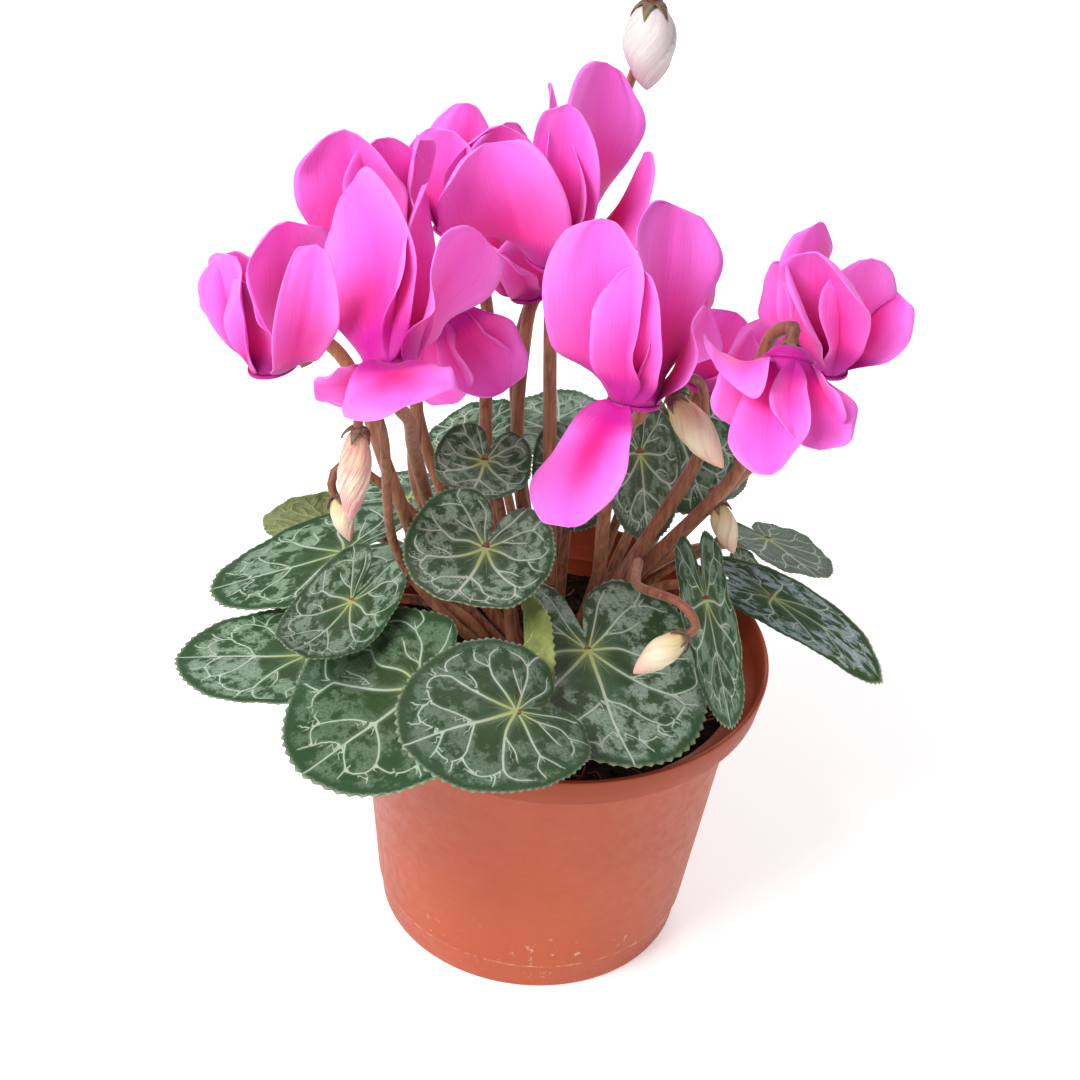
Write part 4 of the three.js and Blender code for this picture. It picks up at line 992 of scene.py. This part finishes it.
def vein_values(leaf, x, y, seed):
    """Signed and plain distance from each blade point to the nearest vein, in vein widths."""
    p = np.stack([x.ravel(), y.ravel()], 1)
    best = np.full(len(p), 1e9)
    signed = np.zeros(len(p))
    scale = leaf.size * VEIN_SCALE
    for start, end, w0, w1 in zip(*vein_pieces(seed)):
        d = end - start
        t = np.clip(((p - start) @ d) / max(d @ d, 1e-12), 0, 1)
        off = p - start - t[:, None] * d
        width = np.maximum(w0 + (w1 - w0) * t, THINNEST_VEIN)
        distance = np.hypot(off[:, 0], off[:, 1]) * scale / width * VEIN_UNITS
        side = np.sign(d[0] * off[:, 1] - d[1] * off[:, 0])
        nearer = distance < best
        best = np.where(nearer, distance, best)
        signed = np.where(nearer, distance * side, signed)
    return (np.clip(signed, -FARTHEST_VEIN, FARTHEST_VEIN).reshape(x.shape),
            np.clip(best, 0, FARTHEST_VEIN).reshape(x.shape))


def leaf_blade(leaf, index, finish):
    spokes = 2 * LEAF_TEETH
    angle = np.linspace(-math.pi, math.pi, spokes, endpoint=False) + math.pi / spokes
    share = (np.linspace(0, 1, LEAF_RINGS + 1) ** 0.85)[:, None]
    tooth = np.where(np.arange(spokes) % 2 == 0, 1.0, 0.0)
    fringe = 1 + TOOTH_DEPTH * (tooth - 0.5) * smooth((share - 0.88) / 0.12)
    r = share * leaf_outline(angle) * fringe
    r[0] = 0
    x, y = r * np.cos(angle), r * np.sin(angle)
    grid = bend_blade(leaf, x, y) @ np.stack(leaf_axes(leaf)) + np.array(leaf.at)
    seed = index * 3.1
    signed, off = vein_values(leaf, x, y, seed)
    ripple = 0.35 * np.sin(7 * angle + seed) * share ** 3 + 0.18 * np.sin(17 * angle) * share ** 5
    quilt = 0.3 * smooth(off / 4) * smooth(share / 0.2)
    silver = SILVER.get(leaf.name, LEFT_SILVER if leaf.at[0] < 0 else RIGHT_SILVER)
    values = {'seed': seed, 'silver': silver, 'share': share, 'vein_side': signed,
              'vein_off': off, 'tooth': tooth}
    sheets = Sheets()
    sheets.add(grid, BLADE_THICKNESS * (1 - 0.55 * share ** 8), np.stack([x, y], -1), values,
               closed=True, shift=ripple + quilt - 0.15)
    finish_piece(sheets.piece(f'blade_{index:02d}'), finish, 'leaf', leaf.name)


# ---------------------------------------------------------------- stalks and tuber

def flower_stalk_path(bloom):
    """The stalk's points, its end, the way back along the flower and the flower's cross axes."""
    axis, x, y = flower_axes(bloom)
    mouth = vec(bloom.mouth)
    gap = math.radians(bloom.gap)
    aside = x * math.cos(gap) + y * math.sin(gap)
    end = tube_length(bloom) + STALK_GAP
    points = [np.array([*bloom.root, ROOT_HEIGHT - 2.0]), *(vec(v) for v in bloom.via)]
    if bloom.hung:
        ways = (end + 4, end + CALYX_HEIGHT, end - STALK_BITE)
        points += [mouth - axis * back for back in ways]
    else:
        ways = (*HOOK, (0.6, end + CALYX_HEIGHT + 1), (0, end - STALK_BITE))
        points += [mouth + aside * out + axis * up for out, up in ways]
    return smooth_path(points), points[-1], axis * backwards(bloom), x, y


def leaf_stalk_path(leaf):
    """From the tuber over the rim, where the leaf stands outside it, up to the leaf's middle."""
    ahead, _, normal = leaf_axes(leaf)
    at = vec(leaf.at)
    reach = math.hypot(at[0], at[1])
    root = np.array([*(at[:2] / reach * min(TUBER_RADIUS - 4, 0.5 * reach + 4)), ROOT_HEIGHT])
    before = at - normal * 4 - ahead * 4
    out = math.hypot(before[0], before[1])
    if out > OVER_RIM:
        lowest = POT_HEIGHT - 3
    else:
        lowest = POT_HEIGHT + 2 if out > NEAR_RIM else ROOT_HEIGHT + 4
    before[2] = max(before[2], lowest)
    via = [vec(v) for v in leaf.via]
    if not via:
        middle = (root + before) / 2
        middle[2] = max(middle[2], ROOT_HEIGHT + 0.65 * (before[2] - ROOT_HEIGHT))
        via = [middle]
    return smooth_path([root, *via, before, at - normal * 0.3])


def bud_axis(bud):
    return unit(vec(bud.tip) - vec(bud.top))


def bud_stalk_path(bud):
    end, axis = vec(bud.top), bud_axis(bud)
    root = np.array([*bud.root, ROOT_HEIGHT - 2.0])
    return smooth_path([root, *(vec(v) for v in bud.via), end - axis * 3.5, end + axis * 0.4])


def stalks(finishes):
    """All stalks in one piece, and in another the calyx behind each flower and bud."""
    paths, widths = [], []
    calyx = Sheets()
    for index, bloom in enumerate(BLOOMS):
        path, end, axis, x, y = flower_stalk_path(bloom)
        t = np.linspace(0, 1, len(path))
        paths.append(path)
        widths.append(FLOWER_STALK_RADIUS * (1.08 - 0.18 * t) * np.where(t > 0.985, 1.3, 1))
        for grid in sepals(end + axis * 0.9, axis, x, y, index):
            calyx.add(grid, SEPAL_THICKNESS, (0, 0), {'seed': index})
    for leaf in LEAVES:
        paths.append(leaf_stalk_path(leaf))
        widths.append(LEAF_STALK_RADIUS * np.linspace(1.1, 0.85, len(paths[-1])))
    for index, bud in enumerate(BUDS):
        paths.append(bud_stalk_path(bud))
        widths.append(BUD_STALK_RADIUS * np.linspace(1.1, 0.9, len(paths[-1])))
        axis = bud_axis(bud)
        x = unit(np.cross(axis, ASLANT))
        hug = 0.55 + 0.1 * bud.radius
        for grid in sepals(np.zeros(3), -axis, x, np.cross(axis, x), index):
            grid = grid * hug + vec(bud.top) - axis * 0.4
            calyx.add(grid, SEPAL_THICKNESS, (0, 0), {'seed': index})
    lines = chains('stalk_lines', paths, widths)
    piece = grown('stalks', lines, sweep_tree, finishes['stalk'], Sides=10, Girth=1.15)
    finish_piece(piece, finishes['stalk'], 'stalk', 'crown')
    finish_piece(calyx.piece('calyces'), finishes['sepal'], 'stalk', 'crown')


def tuber(finish):
    """A flattened knob with low lumps."""
    rows, columns = 33, 72
    angle = np.linspace(0, math.tau, columns, endpoint=False)
    lift = np.linspace(-math.pi / 2, math.pi / 2, rows)
    lumps = np.random.default_rng(4).uniform(0, ANY_TURN, (5, 2))
    radius = np.ones((rows, columns))
    for k, (a, b) in enumerate(lumps):
        radius += 0.03 * np.sin((k + 2) * angle + a) * np.cos(3 * lift + b)[:, None]
    level = TUBER_RADIUS * np.cos(lift)[:, None]
    x, y = level * np.cos(angle) * radius, level * np.sin(angle) * radius
    z = TUBER_CENTRE + (TUBER_HALF_HEIGHT * np.sin(lift)[:, None] * radius)
    points = np.stack([x, y, z], -1).reshape(-1, 3)
    piece = make_mesh('tuber', points, ring_faces(rows - 1, columns))
    weld(piece)
    finish_piece(piece, finish, 'stalk', 'crown')


# ---------------------------------------------------------------- buds

def bud_body(bud, index, finish):
    """Petals rolled round each other: a spindle with a twisted, stepped section."""
    start, tip = vec(bud.top), vec(bud.tip)
    axis = bud_axis(bud)
    length = np.linalg.norm(tip - start)
    side = unit(np.cross(axis, ASLANT))
    other = np.cross(axis, side)
    rows, columns = 40, 60
    u = np.linspace(0, 1, rows + 1)[:, None]
    angle = np.linspace(0, math.tau, columns, endpoint=False)[None, :]
    swell = bud.radius * np.sin(math.pi * (0.12 + 0.88 * u)) ** 0.8 * smooth(u / 0.1 + 0.25)
    step = ((angle - BUD_TWIST * u) * ROLLED_PETALS / math.tau) % 1.0
    r = swell * (0.88 + 0.12 * step ** 0.7 * smooth(u * 3))
    r[0], r[-1] = 0.0, 0.0
    points = (start + axis * (length * u)[..., None]
              + side * (r * np.cos(angle))[..., None] + other * (r * np.sin(angle))[..., None])
    uv = np.stack(np.broadcast_arrays(u, step), -1).reshape(-1, 2)
    count = len(uv)
    values = {'pale': np.full(count, 1.0 if bud is BUDS[-1] else 0.0),
              'blush': np.full(count, 1.0 if bud is BUDS[0] else 0.2)}
    piece = make_mesh(f'closed_bud_{index:02d}', points.reshape(-1, 3),
                      ring_faces(rows, columns), values, uv)
    weld(piece)
    finish_piece(piece, finish, 'bud', bud.name)


# ---------------------------------------------------------------- pot and soil

def pot_body(finish):
    hub = 1.0
    points = [((r - hub) * MM, -z * MM, 0) for r, z in POT_SECTION]
    mesh = bpy.data.meshes.new('pot_section')
    mesh.from_pydata(points, [[i, (i + 1) % len(points)] for i in range(len(points))], [])
    section = new_object('pot_section', mesh)
    pot = grown('moulded_pot', section, lathe_tree, finish, Turns=128, Hub=hub)
    weld(pot)
    for i in range(DRAIN_HOLES):
        a = i * math.tau / DRAIN_HOLES
        place = Vector((DRAIN_CIRCLE * math.cos(a), DRAIN_CIRCLE * math.sin(a), 0)) * MM
        bpy.ops.mesh.primitive_cylinder_add(vertices=32, radius=DRAIN_RADIUS * MM, depth=12 * MM)
        drill = bpy.context.active_object
        drill.data.transform(Matrix.Translation(place))
        cut = pot.modifiers.new('drain', 'BOOLEAN')
        cut.object = drill
        cut.operation = 'DIFFERENCE'
        mesh = plain_mesh(pot)
        pot.modifiers.clear()
        pot.data = mesh
        bpy.data.objects.remove(drill)
    pot.modifiers.new('edges', 'EDGE_SPLIT').split_angle = math.radians(40)
    shade(pot.data)
    finish_piece(pot, finish, 'pot_plastic', 'pot')


def soil(finishes):
    """The fill up to its uneven top, loose crumbs on it, and bits of root."""
    rings, spokes = 60, 160
    share = np.linspace(0, 1, rings)[:, None]
    angle = np.linspace(0, math.tau, spokes, endpoint=False)[None, :]
    r = share * SOIL_RADIUS
    x, y = r * np.cos(angle), r * np.sin(angle)
    z = SOIL_TOP + 0.25 * np.sin(x * 0.21 + 1) * np.cos(y * 0.19) + 0.2 * np.sin(x * 0.7 + y * 0.5)
    z = z - 0.6 * smooth((share - 0.94) / 0.06)
    top = np.stack([x, y, z], -1)
    skirt = [np.stack([q * np.cos(angle[0]), q * np.sin(angle[0]), np.full(spokes, h)], -1)
             for q, h in SOIL_WALL]
    points = np.concatenate([top, np.array(skirt)]).reshape(-1, 3)
    faces = ring_faces(rings + len(SOIL_WALL) - 1, spokes, flip=True)
    body = make_mesh('soil_body', points, faces)
    weld(body)
    finish_piece(body, finishes['soil'], 'soil', 'soil')

    round_tuber, short_of_wall = 19, rings - 3
    bed = make_mesh('crumb_bed', top.reshape(-1, 3),
                    ring_faces(short_of_wall, spokes, first=round_tuber, flip=True))
    crumbs = grown('soil_crumbs', bed, crumb_tree, finishes['crumb'], Spacing=1.5, Smallest=0.35,
                   Largest=1.5, Seed=3)
    shade(crumbs.data, False)
    finish_piece(crumbs, finishes['crumb'], 'soil', 'soil')

    rng = np.random.default_rng(12)
    paths, widths = [], []
    for _ in range(FIBRES):
        a = rng.uniform(0, ANY_TURN)
        q = FIBRES_FROM + (FIBRES_TO - FIBRES_FROM) * math.sqrt(rng.uniform(0, 1))
        centre = np.array([q * math.cos(a), q * math.sin(a), SOIL_TOP + 0.7])
        h, length = rng.uniform(0, ANY_TURN), rng.uniform(3, 11)
        way = np.array([math.cos(h), math.sin(h), 0]) * length / 2
        bow = np.array([-way[1], way[0], 0]) * rng.uniform(-0.6, 0.6)
        ends = [centre - way, centre + bow + [0, 0, rng.uniform(0.2, 1.6)], centre + way]
        ends = [p if math.hypot(p[0], p[1]) < FIBRES_TO else p * [0.9, 0.9, 1] for p in ends]
        paths.append(smooth_path(ends, 1.5))
        widths.append(rng.uniform(0.12, 0.3))
    lines = chains('fibre_lines', paths, widths)
    fibres = grown('soil_fibres', lines, sweep_tree, finishes['fibre'], Sides=5, Girth=1.0)
    finish_piece(fibres, finishes['fibre'], 'soil', 'soil')


# ---------------------------------------------------------------- floor, light and camera

# Soft lights: name, place and size in metres, and power in watts.
LIGHTS = [
    ('window', (-0.6, -0.55, 0.95), 0.55, 14.5),
    ('fill', (0.7, -0.9, 0.7), 0.9, 1.5),
    ('back', (0.25, 0.9, 0.8), 0.6, 5),
]
LIT_POINT = (0, 0, 0.13)
FLOOR_SIZE = 6
FLOOR_GLOW = 0.36
SKY = (0.97, 0.98, 1.0, 1)
SKY_STRENGTH = 0.38
LENS = 73.8
LOOKS_DOWN = 34.3
LEANS = 5.4
AIM = (-6.1, 0, 122.9)
DISTANCE = 592


def studio():
    bpy.ops.mesh.primitive_plane_add(size=FLOOR_SIZE)
    floor = bpy.context.active_object
    floor.name = 'floor'
    floor.data.materials.append(plain_finish('floor_paint', 'f8f8f8', 0.7,
                                             Emission_Color=(1, 1, 1, 1),
                                             Emission_Strength=FLOOR_GLOW))
    world = bpy.data.worlds.new('studio')
    world.use_nodes = True
    sky = world.node_tree.nodes['Background'].inputs
    sky['Color'].default_value = SKY
    sky['Strength'].default_value = SKY_STRENGTH
    scene = bpy.context.scene
    scene.world = world
    for name, place, size, power in LIGHTS:
        light = bpy.data.lights.new(name, 'AREA')
        light.size, light.energy = size, power
        lamp = new_object(name, light)
        lamp.location = place
        way = Vector(LIT_POINT) - Vector(place)
        lamp.rotation_euler = way.to_track_quat('-Z', 'Y').to_euler()
    scene.view_settings.view_transform = 'Standard'
    scene.view_settings.look = 'None'


def camera():
    """Looks down on the plant from the front, with a slight roll."""
    lens = bpy.data.cameras.new('camera')
    lens.sensor_width = 36
    lens.lens = LENS
    lens.clip_start = 0.02
    eye = new_object('camera', lens)
    tip, roll = math.radians(LOOKS_DOWN), math.radians(LEANS)
    back = Vector((0, -math.cos(tip), math.sin(tip)))
    x, y = Vector((1, 0, 0)), Vector((0, math.sin(tip), math.cos(tip)))
    right = x * math.cos(roll) + y * math.sin(roll)
    up = y * math.cos(roll) - x * math.sin(roll)
    turn = Matrix((right, up, back)).transposed()
    place = (Vector(AIM) + back * DISTANCE) * MM
    eye.matrix_world = Matrix.Translation(place) @ turn.to_4x4()
    bpy.context.scene.camera = eye


# ---------------------------------------------------------------- putting it together

finishes = {
    'leaf': leaf_finish(), 'petal': petal_finish(), 'stalk': stalk_finish(), 'pot': pot_finish(),
    'soil': soil_finish('peat', '140c08', '2c1a10'),
    'crumb': soil_finish('peat_crumb', '1c110b', '4a2c1c'),
    'fibre': plain_finish('root_fibre', '8a4a34', 0.8), 'bud': bud_finish(),
    'sepal': sepal_finish(), 'tuber': tuber_finish(),
}
camera()
studio()
pot_body(finishes['pot'])
soil(finishes)
stalks(finishes)
tuber(finishes['tuber'])
for index, leaf in enumerate(LEAVES, 1):
    leaf_blade(leaf, index, finishes['leaf'])
for index, bloom in enumerate(BLOOMS, 1):
    flower(bloom, index, finishes['petal'])
for index, bud in enumerate(BUDS, 1):
    bud_body(bud, index, finishes['bud'])
